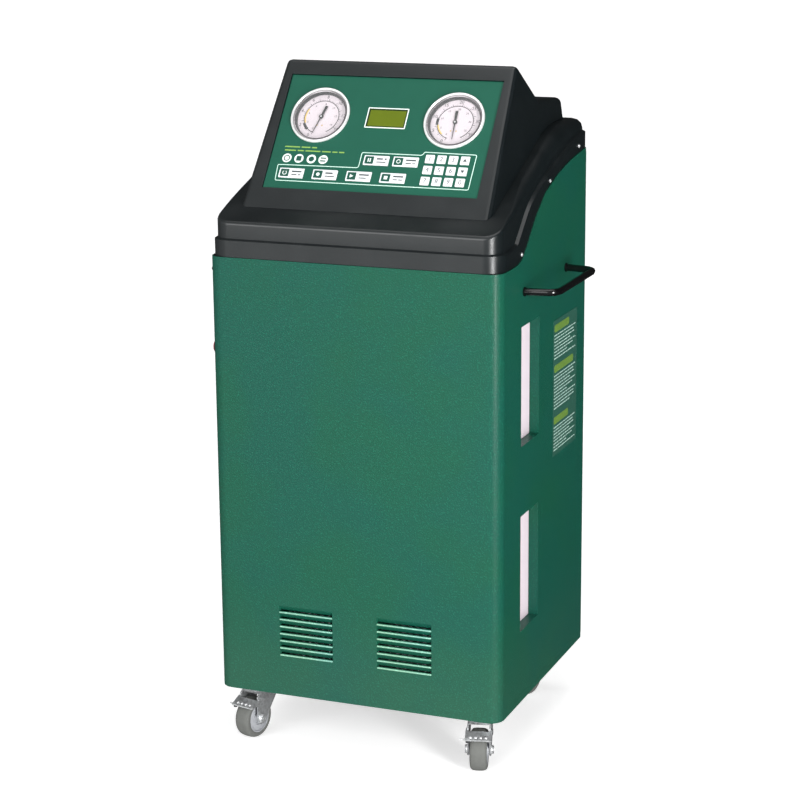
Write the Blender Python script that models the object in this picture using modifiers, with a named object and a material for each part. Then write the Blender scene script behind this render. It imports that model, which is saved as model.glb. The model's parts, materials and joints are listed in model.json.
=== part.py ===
"""Refrigerant recovery machine on casters, modelled in metres with +Z up.

The front faces -Y and the origin lies on the floor under the middle of the machine.
A sheet-steel cabinet stands on a pan with four swivel casters. A moulded cover closes it at the
top and carries the console, whose tilted panel holds two gauges, a display and eighteen keys.
"""

from math import atan, cos, pi, radians, sin, sqrt

import bmesh
import bpy
from mathutils import Matrix, Vector

# Running and seating gaps
GAP = 0.0003
SMALL = 0.00001

# Cabinet
WIDTH = 0.500
FRONT_Y = -0.226
REAR_Y = 0.2175
CABINET_BOTTOM = 0.095
FRONT_TOP = 0.833
SHEET = 0.0015
CORNER_RADIUS = 0.022
CORNER_STEPS = 4
REAR_RETURN = 0.015
REAR_CHAMFER = 0.005
REAR_RAIL = 0.045

# Louvres pressed inwards in the lower front
LOUVRE_COUNT = 7
LOUVRE_PITCH = 0.0125
LOUVRE_LENGTH = 0.0955
LOUVRE_HEIGHT = 0.0092
LOUVRE_DEPTH = 0.0050
LOUVRE_SLOT = 0.0012
LOUVRE_CHEEK = 0.0020
LOUVRE_FIRST_LIP = 0.2425
LOUVRE_GROUPS = (-0.0888, 0.0853)

# Sight windows in the right side
WINDOW_FRONT = 0.1015
WINDOW_WIDTH = 0.0905
WINDOW_HEIGHT = 0.1970
WINDOW_DEPTH = 0.0160
WINDOW_SILLS = (0.2195, 0.5335)

# Moulded cover
COVER_WALL = 0.0025
COVER_INSET = 0.0012
COVER_CORNER = 0.032
BAND_HEIGHT = 0.0280
LEDGE_STEP = 0.0053
LEDGE_FALL = 0.0025
TONGUE_DEPTH = 0.0120
TONGUE_FALL = 0.0006
COVER_REAR_CORNER = 0.006
DECK_HEIGHT = 0.056
RAMP_SLOPE = 0.400
REAR_DECK_HEIGHT = 0.1885
RAMP_BLEND = 0.018
DECK_EDGE_RADIUS = 0.005
SHOULDER_RADIUS = 0.024
SHOULDER_START = 0.045
SHOULDER_LENGTH = 0.180
SHOULDER_MARGIN = 0.0040
REAR_EDGE_RADIUS = 0.0035
FLANGE_RISE = 0.139

# Console and its panel
PANEL_WIDTH = 0.369
PANEL_HEIGHT = 0.212
PANEL_THICKNESS = 0.0020
PANEL_TILT = radians(37.2)
PANEL_SETBACK = 0.0756
PANEL_RISE = 0.1034
BEZEL_PROUD = 0.0030
BEZEL_TOP = 0.0310
CONSOLE_HALF_WIDTH = 0.2135
CONSOLE_LEAN = 0.074
CONSOLE_FLARE = 0.024
CONSOLE_WALL = 0.0035
CONSOLE_FRONT_WALL = 0.0090
CONSOLE_ROUND = 0.0090
PANEL_LEDGE = 0.0070
HUMP_HEIGHT = 0.0360
HUMP_FALL = 0.0090
HUMP_FRONT = 0.3110
HUMP_REAR = 0.4210
CONSOLE_REAR = 0.4275
WIRE_HOLE = (0.300, 0.120)

# Gauges
GAUGE_SPACING = 0.2326
GAUGE_HEIGHT = 0.1370
GAUGE_STEPS = 24
GAUGE_RING_RADIUS = 0.0508
GAUGE_RING_HEIGHT = 0.0040
GAUGE_CASE_RADIUS = 0.0468
GAUGE_CASE_DEPTH = 0.0330
DIAL_RADIUS = 0.0436
DIAL_DEPTH = 0.0050
LENS_RADIUS = 0.0452
LENS_THICKNESS = 0.0018
STEM_RADIUS = 0.0070
STEM_LENGTH = 0.0160
NEEDLE_LENGTH = 0.0315
NEEDLE_TAIL = 0.0205
NEEDLE_WIDTH = 0.0016
NEEDLE_TAIL_WIDTH = 0.0030
NEEDLE_THICKNESS = 0.0008
NEEDLE_HUB_RADIUS = 0.0036
NEEDLE_HUB_HEIGHT = 0.0028
NEEDLE_REST = {"low": 195.5, "high": 177.5}

# Display and keys
DISPLAY_WIDTH = 0.0665
DISPLAY_HEIGHT = 0.0335
DISPLAY_PROUD = 0.0004
NUMBER_KEY = (0.0150, 0.0148)
NUMBER_KEY_PITCH = 0.0198
NUMBER_KEY_ORIGIN = (0.0906, 0.0662)
NUMBER_KEY_COLUMNS = 4
NUMBER_KEY_ROWS = 3
FUNCTION_KEY = (0.0430, 0.0175)
FUNCTION_KEY_PITCH = 0.0588
FUNCTION_KEY_ORIGIN = (-0.1408, 0.0286)
FUNCTION_KEYS_BELOW = 4
UPPER_KEY_PITCH = 0.0504
UPPER_KEY_ORIGIN = (0.0003, 0.0589)
FUNCTION_KEYS_ABOVE = 2
KEY_PROUD = 0.0009
KEY_DEPTH = 0.0026
KEY_ROUND = 0.0004

# Handles on both sides
HANDLE_TUBE = 0.0060
HANDLE_REACH = 0.0520
HANDLE_SPACING = 0.2160
HANDLE_BEND = 0.0160
HANDLE_SPLAY = 0.0060
HANDLE_HEIGHT = 0.786
HANDLE_CENTRE = 0.2210
HANDLE_FOOT_RADIUS = 0.0074
HANDLE_FOOT_HEIGHT = 0.0020

# Stop button on the left side
STOP_HEIGHT = 0.668
STOP_FROM_FRONT = 0.0690
STOP_HEAD_RADIUS = 0.0140
STOP_STEM_RADIUS = 0.0080
STOP_REACH = 0.0250
STOP_TRAVEL = 0.0040

# Base pan and casters
PAN_WALL = 0.0020
PAN_FIT = 0.0006
PAN_HEIGHT = 0.0250
PAN_REAR_CORNER = 0.0080
CASTER_INSET_X = 0.051
CASTER_INSET_Y = 0.052
CASTER_REAR_INSET = 0.0435
CASTER_REAR_INSET_X = 0.0765
PLATE_SIZE = 0.060
PLATE_THICKNESS = 0.0030
RACE_RADIUS = 0.0230
RACE_HEIGHT = 0.0090
KINGPIN_RADIUS = 0.0040
FORK_SHEET = 0.0026
FORK_WIDTH = 0.0390
FORK_TOP_RADIUS = 0.0235
FORK_HEEL = 0.0220
FORK_FOOT = 0.0105
WHEEL_RADIUS = 0.0350
WHEEL_WIDTH = 0.0280
WHEEL_TRAIL = 0.0220
AXLE_RADIUS = 0.0040
AXLE_HEAD_RADIUS = 0.0070
AXLE_HEAD_HEIGHT = 0.0040
BORE_GAP = 0.0004
WHEEL_BOSS = 0.0022
PEDAL_THICKNESS = 0.0020
PEDAL_PIVOT = (0.0150, 0.0640)
PEDAL_PIVOT_RADIUS = 0.0028
PEDAL_EAR = 0.0052
PEDAL_FRONT = (0.0350, 0.0520)
PEDAL_LEVELS = (0.0712, 0.0625)
CASTERS = {
    "front_left": (-1, -1, -13.0, True),
    "front_right": (1, -1, 15.0, True),
    "rear_left": (-1, 1, 24.0, False),
    "rear_right": (1, 1, -14.0, False),
}

# Rear door with lift-off hinges and a quarter-turn lock
DOOR_MARGIN = 0.0025
DOOR_DEPTH = 0.0050
DOOR_BOTTOM_MARGIN = 0.0030
DOOR_TOP = 0.9680
HINGE_OFFSET = 0.0035
HINGE_RADIUS = 0.0032
HINGE_PIN_RADIUS = 0.0018
HINGE_HEIGHT = 0.0240
HINGE_LEVELS = (0.240, 0.800)
HINGE_LEAF = 0.0250
DOOR_VENT = (0.120, 0.0060)
DOOR_VENT_PITCH = 0.0160
DOOR_VENT_COUNT = 8
DOOR_VENT_TOP = 0.400
LOCK_HEIGHT = 0.560
LOCK_INSET = 0.0275
LOCK_RADIUS = 0.0110
LOCK_PROUD = 0.0080
LOCK_STEM_RADIUS = 0.0050
LOCK_TONGUE = (0.0080, 0.0260, 0.0022)
LOCK_TONGUE_GAP = 0.0045

# Machinery on the pan
SCALE_SIZE = (0.205, 0.205)
SCALE_PLATE = 0.0060
SCALE_CELL = (0.060, 0.030, 0.012)
TANK_CENTRE = (-0.105, 0.072)
TANK_RADIUS = 0.0950
TANK_HEIGHT = 0.3900
TANK_WALL = 0.0030
TANK_BORE = 0.0018
COMPRESSOR_CENTRE = (0.130, 0.118)
COMPRESSOR_RADIUS = 0.0640
COMPRESSOR_HEIGHT = 0.1750
PUMP_CENTRE = (0.135, -0.032)
PUMP_RADIUS = 0.0420
PUMP_LENGTH = 0.1500
CONDENSER_SIZE = (0.270, 0.028, 0.160)
CONDENSER_SETBACK = 0.0340
CONDENSER_FINS = 23
FIN_THICKNESS = 0.0030
FAN_RADIUS = 0.0680
FAN_HUB_RADIUS = 0.0200
FAN_BLADES = 5
FAN_DEPTH = 0.0160
FAN_SHAFT_RADIUS = 0.0040
DRIER_RADIUS = 0.0220
DRIER_LENGTH = 0.1300
DRIER_CENTRE = (-0.060, 0.560)
BOTTLE_DEPTH = 0.0420
BOTTLE_RIM = 0.0030

# Services on the left side
INLET_SIZE = (0.048, 0.030)
INLET_CENTRE = (0.150, 0.180)
PORT_HEIGHT = 0.540
PORT_SPACING = 0.050
PORT_CENTRE = 0.130
PORT_RADIUS = 0.0080
PORT_THREAD_RADIUS = 0.00555
PORT_REACH = 0.0240

# Places worked out from the sizes above
INNER_HALF = WIDTH / 2 - SHEET
DEPTH = REAR_Y - FRONT_Y
COVER_HALF = WIDTH / 2 - COVER_INSET
COVER_FRONT = FRONT_Y + COVER_INSET
COVER_REAR = REAR_Y - COVER_INSET
TONGUE_INSET = SHEET + 2 * GAP
PANEL_Y = FRONT_Y + PANEL_SETBACK
PANEL_Z = FRONT_TOP + PANEL_RISE

# Side edge of the cover and its ledge: share of the depth, share of the rise
FLANGE_FORM = (
    (0.000, 0.000), (0.110, 0.000), (0.195, 0.012), (0.243, 0.058), (0.300, 0.200),
    (0.392, 0.467), (0.497, 0.683), (0.629, 0.822), (0.800, 0.937), (1.000, 1.010),
)
LEDGE_FORM = (
    (0.000, 0.000), (0.120, 0.000), (0.184, 0.030), (0.2341, 0.155), (0.338, 0.424),
    (0.516, 0.660), (0.700, 0.827), (0.872, 0.960), (1.000, 1.010),
)


def smooth_curve(points, x):
    """Height at x on a smooth curve through points that keeps their rise and fall"""
    if x <= points[0][0]:
        return points[0][1]
    if x >= points[-1][0]:
        return points[-1][1]
    slopes = []
    for (x0, y0), (x1, y1) in zip(points, points[1:]):
        slopes.append((y1 - y0) / (x1 - x0))
    tangents = [slopes[0]]
    for before, after in zip(slopes, slopes[1:]):
        same_way = before * after > 0
        tangents.append(2 * before * after / (before + after) if same_way else 0.0)
    tangents.append(slopes[-1])
    index = max(i for i, point in enumerate(points[:-1]) if point[0] <= x)
    (x0, y0), (x1, y1) = points[index], points[index + 1]
    span = x1 - x0
    t = (x - x0) / span
    low = y0 * (1 + 2 * t) * (1 - t) ** 2 + tangents[index] * span * t * (1 - t) ** 2
    high = y1 * t * t * (3 - 2 * t) + tangents[index + 1] * span * t * t * (t - 1)
    return low + high


def side_stations():
    """Places along the depth where the side edges bend"""
    shares = sorted({share for share, rise in FLANGE_FORM + LEDGE_FORM})
    return [FRONT_Y + DEPTH * share for share in shares]


def edge_rise(form, y):
    """Rise of a side edge at y, straight between the stations that the sides share"""
    stations = side_stations()
    y = min(max(y, stations[0]), stations[-1])
    index = max(i for i, station in enumerate(stations[:-1]) if station <= y)
    before, after = stations[index], stations[index + 1]
    low = smooth_curve(form, (before - FRONT_Y) / DEPTH)
    high = smooth_curve(form, (after - FRONT_Y) / DEPTH)
    return FLANGE_RISE * (low + (high - low) * (y - before) / (after - before))


def flange_edge(y):
    """Lower edge of the cover over the cabinet's side"""
    return FRONT_TOP + edge_rise(FLANGE_FORM, y)


def ledge_edge(y):
    """Top of the cover's lower band"""
    return FRONT_TOP + BAND_HEIGHT + edge_rise(LEDGE_FORM, y)


def cabinet_top(y):
    """Top edge of the sheet, on which the cover sits"""
    return flange_edge(y) - 2 * GAP


def ramp(y):
    """Top of the cover: a slope from the front that eases into the level rear deck"""
    slope = FRONT_TOP + DECK_HEIGHT + RAMP_SLOPE * (y - COVER_FRONT - LEDGE_STEP)
    level = FRONT_TOP + REAR_DECK_HEIGHT
    share = min(max(0.5 + 0.5 * (level - slope) / RAMP_BLEND, 0.0), 1.0)
    return level + (slope - level) * share - RAMP_BLEND * share * (1 - share)


def panel_point(u, v, w):
    """World place of a point given across, up and out of the panel's front face"""
    y = PANEL_Y + v * sin(PANEL_TILT) - w * cos(PANEL_TILT)
    z = PANEL_Z + v * cos(PANEL_TILT) + w * sin(PANEL_TILT)
    return Vector((u, y, z))


def clear_scene():
    for item in list(bpy.data.objects):
        bpy.data.objects.remove(item)
    for group in list(bpy.data.collections):
        bpy.data.collections.remove(group)


def make_collection(name):
    group = bpy.data.collections.new(name)
    bpy.context.scene.collection.children.link(group)
    return group


def make_material(name, color, roughness, metallic):
    material = bpy.data.materials.new(name)
    material.use_nodes = True
    shader = material.node_tree.nodes["Principled BSDF"]
    shader.inputs["Base Color"].default_value = (*color, 1.0)
    shader.inputs["Roughness"].default_value = roughness
    shader.inputs["Metallic"].default_value = metallic
    return material


def make_materials():
    return {
        "green_paint": make_material("green_paint", (0.020, 0.125, 0.078), 0.45, 0.0),
        "black_moulding": make_material("black_moulding", (0.020, 0.026, 0.028), 0.45, 0.0),
        "panel_green": make_material("panel_green", (0.027, 0.147, 0.095), 0.35, 0.0),
        "key_face": make_material("key_face", (0.75, 0.82, 0.79), 0.45, 0.0),
        "display_green": make_material("display_green", (0.13, 0.19, 0.01), 0.15, 0.0),
        "gauge_metal": make_material("gauge_metal", (0.80, 0.83, 0.82), 0.25, 0.9),
        "clear_lens": make_material("clear_lens", (0.95, 0.95, 0.95), 0.03, 0.0),
        "needle_black": make_material("needle_black", (0.01, 0.01, 0.01), 0.40, 0.0),
        "black_tube": make_material("black_tube", (0.008, 0.008, 0.009), 0.20, 0.0),
        "zinc": make_material("zinc", (0.62, 0.64, 0.64), 0.30, 1.0),
        "grey_tread": make_material("grey_tread", (0.18, 0.185, 0.175), 0.60, 0.0),
        "stop_red": make_material("stop_red", (0.55, 0.03, 0.05), 0.35, 0.0),
        "white_bottle": make_material("white_bottle", (0.86, 0.80, 0.82), 0.35, 0.0),
        "black_steel": make_material("black_steel", (0.015, 0.015, 0.016), 0.40, 0.5),
        "tank_paint": make_material("tank_paint", (0.45, 0.46, 0.45), 0.35, 0.2),
        "copper": make_material("copper", (0.72, 0.36, 0.22), 0.30, 1.0),
        "aluminium": make_material("aluminium", (0.72, 0.73, 0.74), 0.35, 1.0),
        "brass": make_material("brass", (0.70, 0.52, 0.22), 0.30, 1.0),
    }


clear_scene()
MACHINE = make_collection("refrigerant_recovery_machine")
CUTTERS = make_collection("cutters")
MATERIALS = make_materials()


def add_object(name, mesh, finish, parent=None, location=(0, 0, 0), rotation=(0, 0, 0)):
    item = bpy.data.objects.new(name, mesh)
    MACHINE.objects.link(item)
    mesh.materials.clear()
    mesh.materials.append(MATERIALS[finish])
    item.parent = parent
    item.location = location
    item.rotation_euler = rotation
    return item


def add_guide(name, mesh, parent=None, location=(0, 0, 0), rotation=(0, 0, 0)):
    """Cutter or joining shape, kept out of the model"""
    item = bpy.data.objects.new(name, mesh)
    CUTTERS.objects.link(item)
    item.parent = parent
    item.location = location
    item.rotation_euler = rotation
    item.hide_render = True
    item.display_type = "WIRE"
    return item


def add_empty(name, location, rotation=(0, 0, 0)):
    item = bpy.data.objects.new(name, None)
    MACHINE.objects.link(item)
    item.location = location
    item.rotation_euler = rotation
    return item


def finish_mesh(bm, name, smooth=True):
    mesh = bpy.data.meshes.new(name)
    bm.to_mesh(mesh)
    bm.free()
    if smooth:
        mesh.shade_smooth()
        mesh.set_sharp_from_angle(angle=radians(32))
    return mesh


def box_mesh(name, size, centre=(0, 0, 0), round_edge=0.0, segments=1):
    bm = bmesh.new()
    bmesh.ops.create_cube(bm, size=1.0)
    bmesh.ops.scale(bm, verts=bm.verts, vec=size)
    if round_edge:
        bmesh.ops.bevel(
            bm, geom=bm.edges[:], offset=round_edge, segments=segments, profile=0.5,
            affect="EDGES", clamp_overlap=True,
        )
    bmesh.ops.translate(bm, verts=bm.verts, vec=centre)
    return finish_mesh(bm, name, smooth=False)


def cylinder_mesh(name, radius, length, centre=(0, 0, 0), axis="Z", segments=20, top=None):
    bm = bmesh.new()
    far_radius = radius if top is None else top
    bmesh.ops.create_cone(
        bm, cap_ends=True, segments=segments, radius1=radius, radius2=far_radius, depth=length,
    )
    turn = {"X": Matrix.Rotation(pi / 2, 3, "Y"), "Y": Matrix.Rotation(-pi / 2, 3, "X")}
    if axis in turn:
        bmesh.ops.rotate(bm, verts=bm.verts, cent=(0, 0, 0), matrix=turn[axis])
    bmesh.ops.translate(bm, verts=bm.verts, vec=centre)
    return finish_mesh(bm, name)


def prism_mesh(name, outline, thickness, round_edge=0.0):
    """Flat outline in XY, drawn out by the thickness along +Z"""
    bm = bmesh.new()
    face = bm.faces.new([bm.verts.new((x, y, 0.0)) for x, y in outline])
    drawn = bmesh.ops.extrude_face_region(bm, geom=[face])
    moved = [item for item in drawn["geom"] if isinstance(item, bmesh.types.BMVert)]
    bmesh.ops.translate(bm, verts=moved, vec=(0, 0, thickness))
    bmesh.ops.recalc_face_normals(bm, faces=bm.faces)
    if round_edge:
        bmesh.ops.bevel(
            bm, geom=bm.edges[:], offset=round_edge, segments=1, profile=0.5,
            affect="EDGES", clamp_overlap=True,
        )
    return finish_mesh(bm, name, smooth=False)


def side_prism(name, outline, start, thickness):
    """Flat outline in YZ, drawn out by the thickness along +X from its start"""
    mesh = prism_mesh(name, outline, thickness)
    mesh.transform(Matrix(((0, 0, 1, start), (1, 0, 0, 0), (0, 1, 0, 0), (0, 0, 0, 1))))
    return mesh


def turned(name, profile, finish, steps=32, closed=False, guide=False, **place):
    """Profile of (radius, height) points, turned about Z by a Screw modifier"""
    mesh = bpy.data.meshes.new(name)
    points = [(radius, 0.0, height) for radius, height in profile]
    edges = [(i, i + 1) for i in range(len(points) - 1)]
    if closed:
        edges.append((len(points) - 1, 0))
    mesh.from_pydata(points, edges, [])
    item = add_guide(name, mesh, **place) if guide else add_object(name, mesh, finish, **place)
    screw = item.modifiers.new("turn", "SCREW")
    screw.steps = steps
    screw.render_steps = steps
    screw.use_merge_vertices = True
    screw.merge_threshold = SMALL
    screw.use_smooth_shade = True
    return item


def evaluated_mesh(item, name):
    """Mesh of an object with its modifiers applied, in the object's own frame"""
    graph = bpy.context.evaluated_depsgraph_get()
    mesh = bpy.data.meshes.new_from_object(item.evaluated_get(graph))
    mesh.name = name
    return mesh


def tube_mesh(name, points, radius, resolution=2):
    """Bent round tube with closed ends, made from a curve"""
    curve = bpy.data.curves.new(name, "CURVE")
    curve.dimensions = "3D"
    curve.bevel_depth = radius
    curve.bevel_resolution = resolution
    curve.use_fill_caps = True
    spline = curve.splines.new("POLY")
    spline.points.add(len(points) - 1)
    for target, point in zip(spline.points, points):
        target.co = (*point, 1.0)
    guide = add_guide(name, curve)
    mesh = evaluated_mesh(guide, name)
    bpy.data.objects.remove(guide)
    bm = bmesh.new()
    bm.from_mesh(mesh)
    bmesh.ops.remove_doubles(bm, verts=bm.verts, dist=SMALL)
    bmesh.ops.recalc_face_normals(bm, faces=bm.faces)
    bpy.data.meshes.remove(mesh)
    return finish_mesh(bm, name)


def combine(item, other, operation):
    change = item.modifiers.new(operation.lower(), "BOOLEAN")
    change.operation = operation
    change.solver = "EXACT"
    change.object = other


def cut(item, cutter):
    combine(item, cutter, "DIFFERENCE")


def join(item, other):
    combine(item, other, "UNION")


def thicken(item, wall):
    """Wall added on the inner side of an open surface whose faces point outwards"""
    wall_change = item.modifiers.new("wall", "SOLIDIFY")
    wall_change.thickness = wall
    wall_change.offset = -1.0
    wall_change.use_even_offset = True


def arc(centre, radius, start, end, steps):
    """Points of an arc, with angles in degrees"""
    points = []
    for step in range(steps + 1):
        angle = radians(start + (end - start) * step / steps)
        points.append((centre[0] + radius * cos(angle), centre[1] + radius * sin(angle)))
    return points


def half_plan(half_width, front, rear, corner, rear_corner, side_places):
    """Right half of a round-cornered plan: places and outward directions, front to rear"""
    plan = []
    for step in range(CORNER_STEPS + 1):
        angle = radians(-90 + 90 * step / CORNER_STEPS)
        way = Vector((cos(angle), sin(angle)))
        plan.append((Vector((half_width - corner, front + corner)) + way * corner, way))
    for y in side_places:
        if front + corner + 0.001 < y < rear - rear_corner - 0.001:
            plan.append((Vector((half_width, y)), Vector((1, 0))))
    rear_steps = 3
    for step in range(rear_steps + 1):
        angle = radians(90 * step / rear_steps)
        way = Vector((cos(angle), sin(angle)))
        place = Vector((half_width - rear_corner, rear - rear_corner)) + way * rear_corner
        plan.append((place, way))
    return plan


def ring_from(half):
    """Whole ring from its right half, anticlockwise from above"""
    mirrored = [Vector((-point.x, point.y, point.z)) for point in reversed(half)]
    return list(half) + mirrored


def loft(bm, rings, cap_top=False, cap_bottom=False):
    """Faces between rings listed from the bottom up, pointing outwards"""
    rows = [[bm.verts.new(point) for point in ring] for ring in rings]
    count = len(rows[0])
    for lower, upper in zip(rows, rows[1:]):
        for i in range(count):
            k = (i + 1) % count
            bm.faces.new((lower[i], lower[k], upper[k], upper[i]))
    half = count // 2
    for row, wanted, flip in ((rows[-1], cap_top, False), (rows[0], cap_bottom, True)):
        if not wanted:
            continue
        for i in range(half - 1):
            face = [row[i], row[i + 1], row[count - 2 - i], row[count - 1 - i]]
            bm.faces.new(list(reversed(face)) if flip else face)
    return rows


def make_base_pan():
    """Folded pan that closes the bottom and carries the casters"""
    half = half_plan(
        INNER_HALF - PAN_FIT, FRONT_Y + SHEET + PAN_FIT, REAR_Y - SHEET - PAN_FIT,
        CORNER_RADIUS - SHEET, PAN_REAR_CORNER, [],
    )
    bm = bmesh.new()
    rings = []
    for z in (CABINET_BOTTOM, CABINET_BOTTOM + PAN_HEIGHT):
        rings.append(ring_from([Vector((place.x, place.y, z)) for place, way in half]))
    loft(bm, rings, cap_bottom=True)
    pan = add_object("base_pan", finish_mesh(bm, "base_pan"), "black_steel")
    thicken(pan, PAN_WALL)
    return pan


def louvre_rows():
    """Heights of the slits and of the folds above them"""
    slits = [LOUVRE_FIRST_LIP - LOUVRE_PITCH * index for index in range(LOUVRE_COUNT)]
    return sorted(slits + [slit + LOUVRE_HEIGHT for slit in slits])


def window_rows():
    return sorted(list(WINDOW_SILLS) + [sill + WINDOW_HEIGHT for sill in WINDOW_SILLS])


def cabinet_columns():
    """Columns of the wrapped sheet from the rear left return round to the rear right one

    Each column is its place in the plan and the heights at which its neighbours fold or open.
    """
    right = []
    centre = Vector((WIDTH / 2 - CORNER_RADIUS, FRONT_Y + CORNER_RADIUS))
    for step in range(CORNER_STEPS + 1):
        angle = radians(-90 + 90 * step / CORNER_STEPS)
        rows = [] if step else louvre_rows()
        right.append((centre + Vector((cos(angle), sin(angle))) * CORNER_RADIUS, rows))
    window = (FRONT_Y + WINDOW_FRONT, FRONT_Y + WINDOW_FRONT + WINDOW_WIDTH)
    places = set(window)
    for y in side_stations():
        clear = min(abs(y - edge) for edge in window) > GAP
        if clear and FRONT_Y + CORNER_RADIUS + SMALL < y < REAR_Y - REAR_CHAMFER - SMALL:
            places.add(y)
    for y in sorted(places):
        beside = window[0] - SMALL < y < window[1] + SMALL
        right.append((Vector((WIDTH / 2, y)), window_rows() if beside else []))
    right.append((Vector((WIDTH / 2, REAR_Y - REAR_CHAMFER)), []))
    right.append((Vector((WIDTH / 2 - REAR_CHAMFER, REAR_Y)), []))
    rail = [cabinet_top(REAR_Y) - REAR_RAIL]
    right.append((Vector((WIDTH / 2 - REAR_RETURN, REAR_Y)), rail))
    front = []
    for middle in LOUVRE_GROUPS:
        for side in (-1, 1):
            front.append((Vector((middle + side * LOUVRE_LENGTH / 2, FRONT_Y)), louvre_rows()))
    left = []
    for place, rows in reversed(right):
        opened = place.x > WIDTH / 2 - SMALL
        left.append((Vector((-place.x, place.y)), [] if opened else rows))
    return left + front + right


def press_louvre(bm, bottom_left, bottom_right, top_right, top_left):
    """Strip pushed inwards, open along its lower edge"""
    depth = Vector((0, LOUVRE_DEPTH, LOUVRE_SLOT))
    side = Vector((LOUVRE_CHEEK, 0, 0))
    lip_left = bm.verts.new(bottom_left.co + depth + side)
    lip_right = bm.verts.new(bottom_right.co + depth - side)
    bm.faces.new((top_left, lip_left, lip_right, top_right))
    bm.faces.new((top_left, bottom_left, lip_left))
    bm.faces.new((top_right, lip_right, bottom_right))


def press_window(bm, outline):
    """Walls of a recess behind the opening that the outline bounds"""
    inner = [bm.verts.new(vert.co - Vector((WINDOW_DEPTH, 0, 0))) for vert in outline]
    count = len(outline)
    for i in range(count):
        k = (i + 1) % count
        bm.faces.new((outline[i], outline[k], inner[k], inner[i]))


def cabinet_surface():
    """Outer surface of the wrapped sheet, with its louvres and window recesses"""
    bm = bmesh.new()
    columns = cabinet_columns()
    grid = []
    for place, rows in columns:
        levels = [CABINET_BOTTOM] + rows + [cabinet_top(place.y)]
        grid.append([bm.verts.new((place.x, place.y, z)) for z in levels])
    hoods = {round(middle - LOUVRE_LENGTH / 2, 5) for middle in LOUVRE_GROUPS}
    recesses = {sill: ([], []) for sill in WINDOW_SILLS}
    corner_end = FRONT_Y + CORNER_RADIUS + SMALL
    for i in range(len(columns) - 1):
        here, after = grid[i], grid[i + 1]
        if columns[i][1] != columns[i + 1][1] or not columns[i][1]:
            face = bm.faces.new(here[:1] + after + list(reversed(here[1:])))
            face.smooth = max(columns[i][0].y, columns[i + 1][0].y) < corner_end
            continue
        in_hoods = round(here[0].co.x, 5) in hoods
        for j in range(len(here) - 1):
            corners = (here[j], after[j], after[j + 1], here[j + 1])
            if in_hoods and j % 2:
                press_louvre(bm, *corners)
            elif here[0].co.x > 0 and here[0].co.y > FRONT_Y + SMALL and j % 2:
                sill = min(WINDOW_SILLS, key=lambda z: abs(z - here[j].co.z))
                recesses[sill][0].append(corners[:2])
                recesses[sill][1].append(corners[2:])
            else:
                bm.faces.new(corners)
    for bottoms, tops in recesses.values():
        press_window(bm, window_outline(bottoms, tops))
    bm.faces.new((grid[-1][1], grid[0][1], grid[0][2], grid[-1][2]))
    return bm


def window_outline(bottoms, tops):
    """Boundary of a block of grid cells, anticlockwise from outside, from its cells' edges"""
    cell_edges = {}
    for (a, b), (c, d) in zip(bottoms, tops):
        for edge in ((a, b), (b, c), (c, d), (d, a)):
            if (edge[1], edge[0]) in cell_edges:
                del cell_edges[(edge[1], edge[0])]
            else:
                cell_edges[edge] = True
    following = {start: end for start, end in cell_edges}
    first = next(iter(following))
    loop = [first]
    while following[loop[-1]] is not first:
        loop.append(following[loop[-1]])
    return loop


def make_cabinet():
    bm = cabinet_surface()
    bmesh.ops.recalc_face_normals(bm, faces=bm.faces)
    front_face = min(bm.faces, key=lambda face: face.calc_center_median().y)
    if front_face.normal.y > 0:
        bmesh.ops.reverse_faces(bm, faces=bm.faces)
    surface = finish_mesh(bm, "cabinet_shell", smooth=False)
    cabinet = add_object("cabinet_shell", surface, "green_paint")
    thicken(cabinet, SHEET)
    cut_left_services(cabinet)
    for level, height in enumerate(HINGE_LEVELS):
        join(cabinet, fixed_hinge(f"fixed_hinge_{level}", height))
    return cabinet


def cut_left_services(cabinet):
    """Holes in the left side for the stop button, the inlet and the hose ports"""
    reach = 0.020
    stop_y = FRONT_Y + STOP_FROM_FRONT
    left = -WIDTH / 2
    stop_hole = cylinder_mesh(
        "stop_hole", STOP_STEM_RADIUS + GAP, reach, (left, stop_y, STOP_HEIGHT), axis="X",
    )
    cut(cabinet, add_guide("stop_hole", stop_hole))
    width, height = INLET_SIZE
    y, z = INLET_CENTRE
    inlet_hole = box_mesh("inlet_hole", (reach, width + 2 * GAP, height + 2 * GAP), (left, y, z))
    cut(cabinet, add_guide("inlet_hole", inlet_hole))
    for side in (-1, 1):
        place = (left, PORT_CENTRE + side * PORT_SPACING / 2, PORT_HEIGHT)
        hole = cylinder_mesh(
            f"port_hole_{side}", PORT_RADIUS + 2 * GAP, reach, place, axis="X", segments=12,
        )
        cut(cabinet, add_guide(f"port_hole_{side}", hole))


def hinge_axis():
    return Vector((-WIDTH / 2 - HINGE_OFFSET, REAR_Y + 0.0015, 0.0))


def fixed_hinge(name, height):
    """Lower knuckle, its pin and the leaf on the cabinet's side, as one joining shape"""
    axis = hinge_axis()
    half = HINGE_HEIGHT / 2
    profile = (
        (0.0, height + half), (HINGE_PIN_RADIUS, height + half), (HINGE_PIN_RADIUS, height),
        (HINGE_RADIUS, height), (HINGE_RADIUS, height - half), (0.0, height - half),
    )
    knuckle = turned(name, profile, None, steps=16, guide=True, location=(axis.x, axis.y, 0.0))
    reach = 0.0008
    leaf_x = -WIDTH / 2 - 0.0012 / 2 + reach / 2
    leaf = box_mesh(
        name + "_leaf", (0.0012 + reach, HINGE_LEAF, half - 0.001),
        (leaf_x, axis.y - HINGE_LEAF / 2, height - half / 2),
    )
    join(knuckle, add_guide(name + "_leaf", leaf, location=(0, 0, 0)))
    return knuckle


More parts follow.
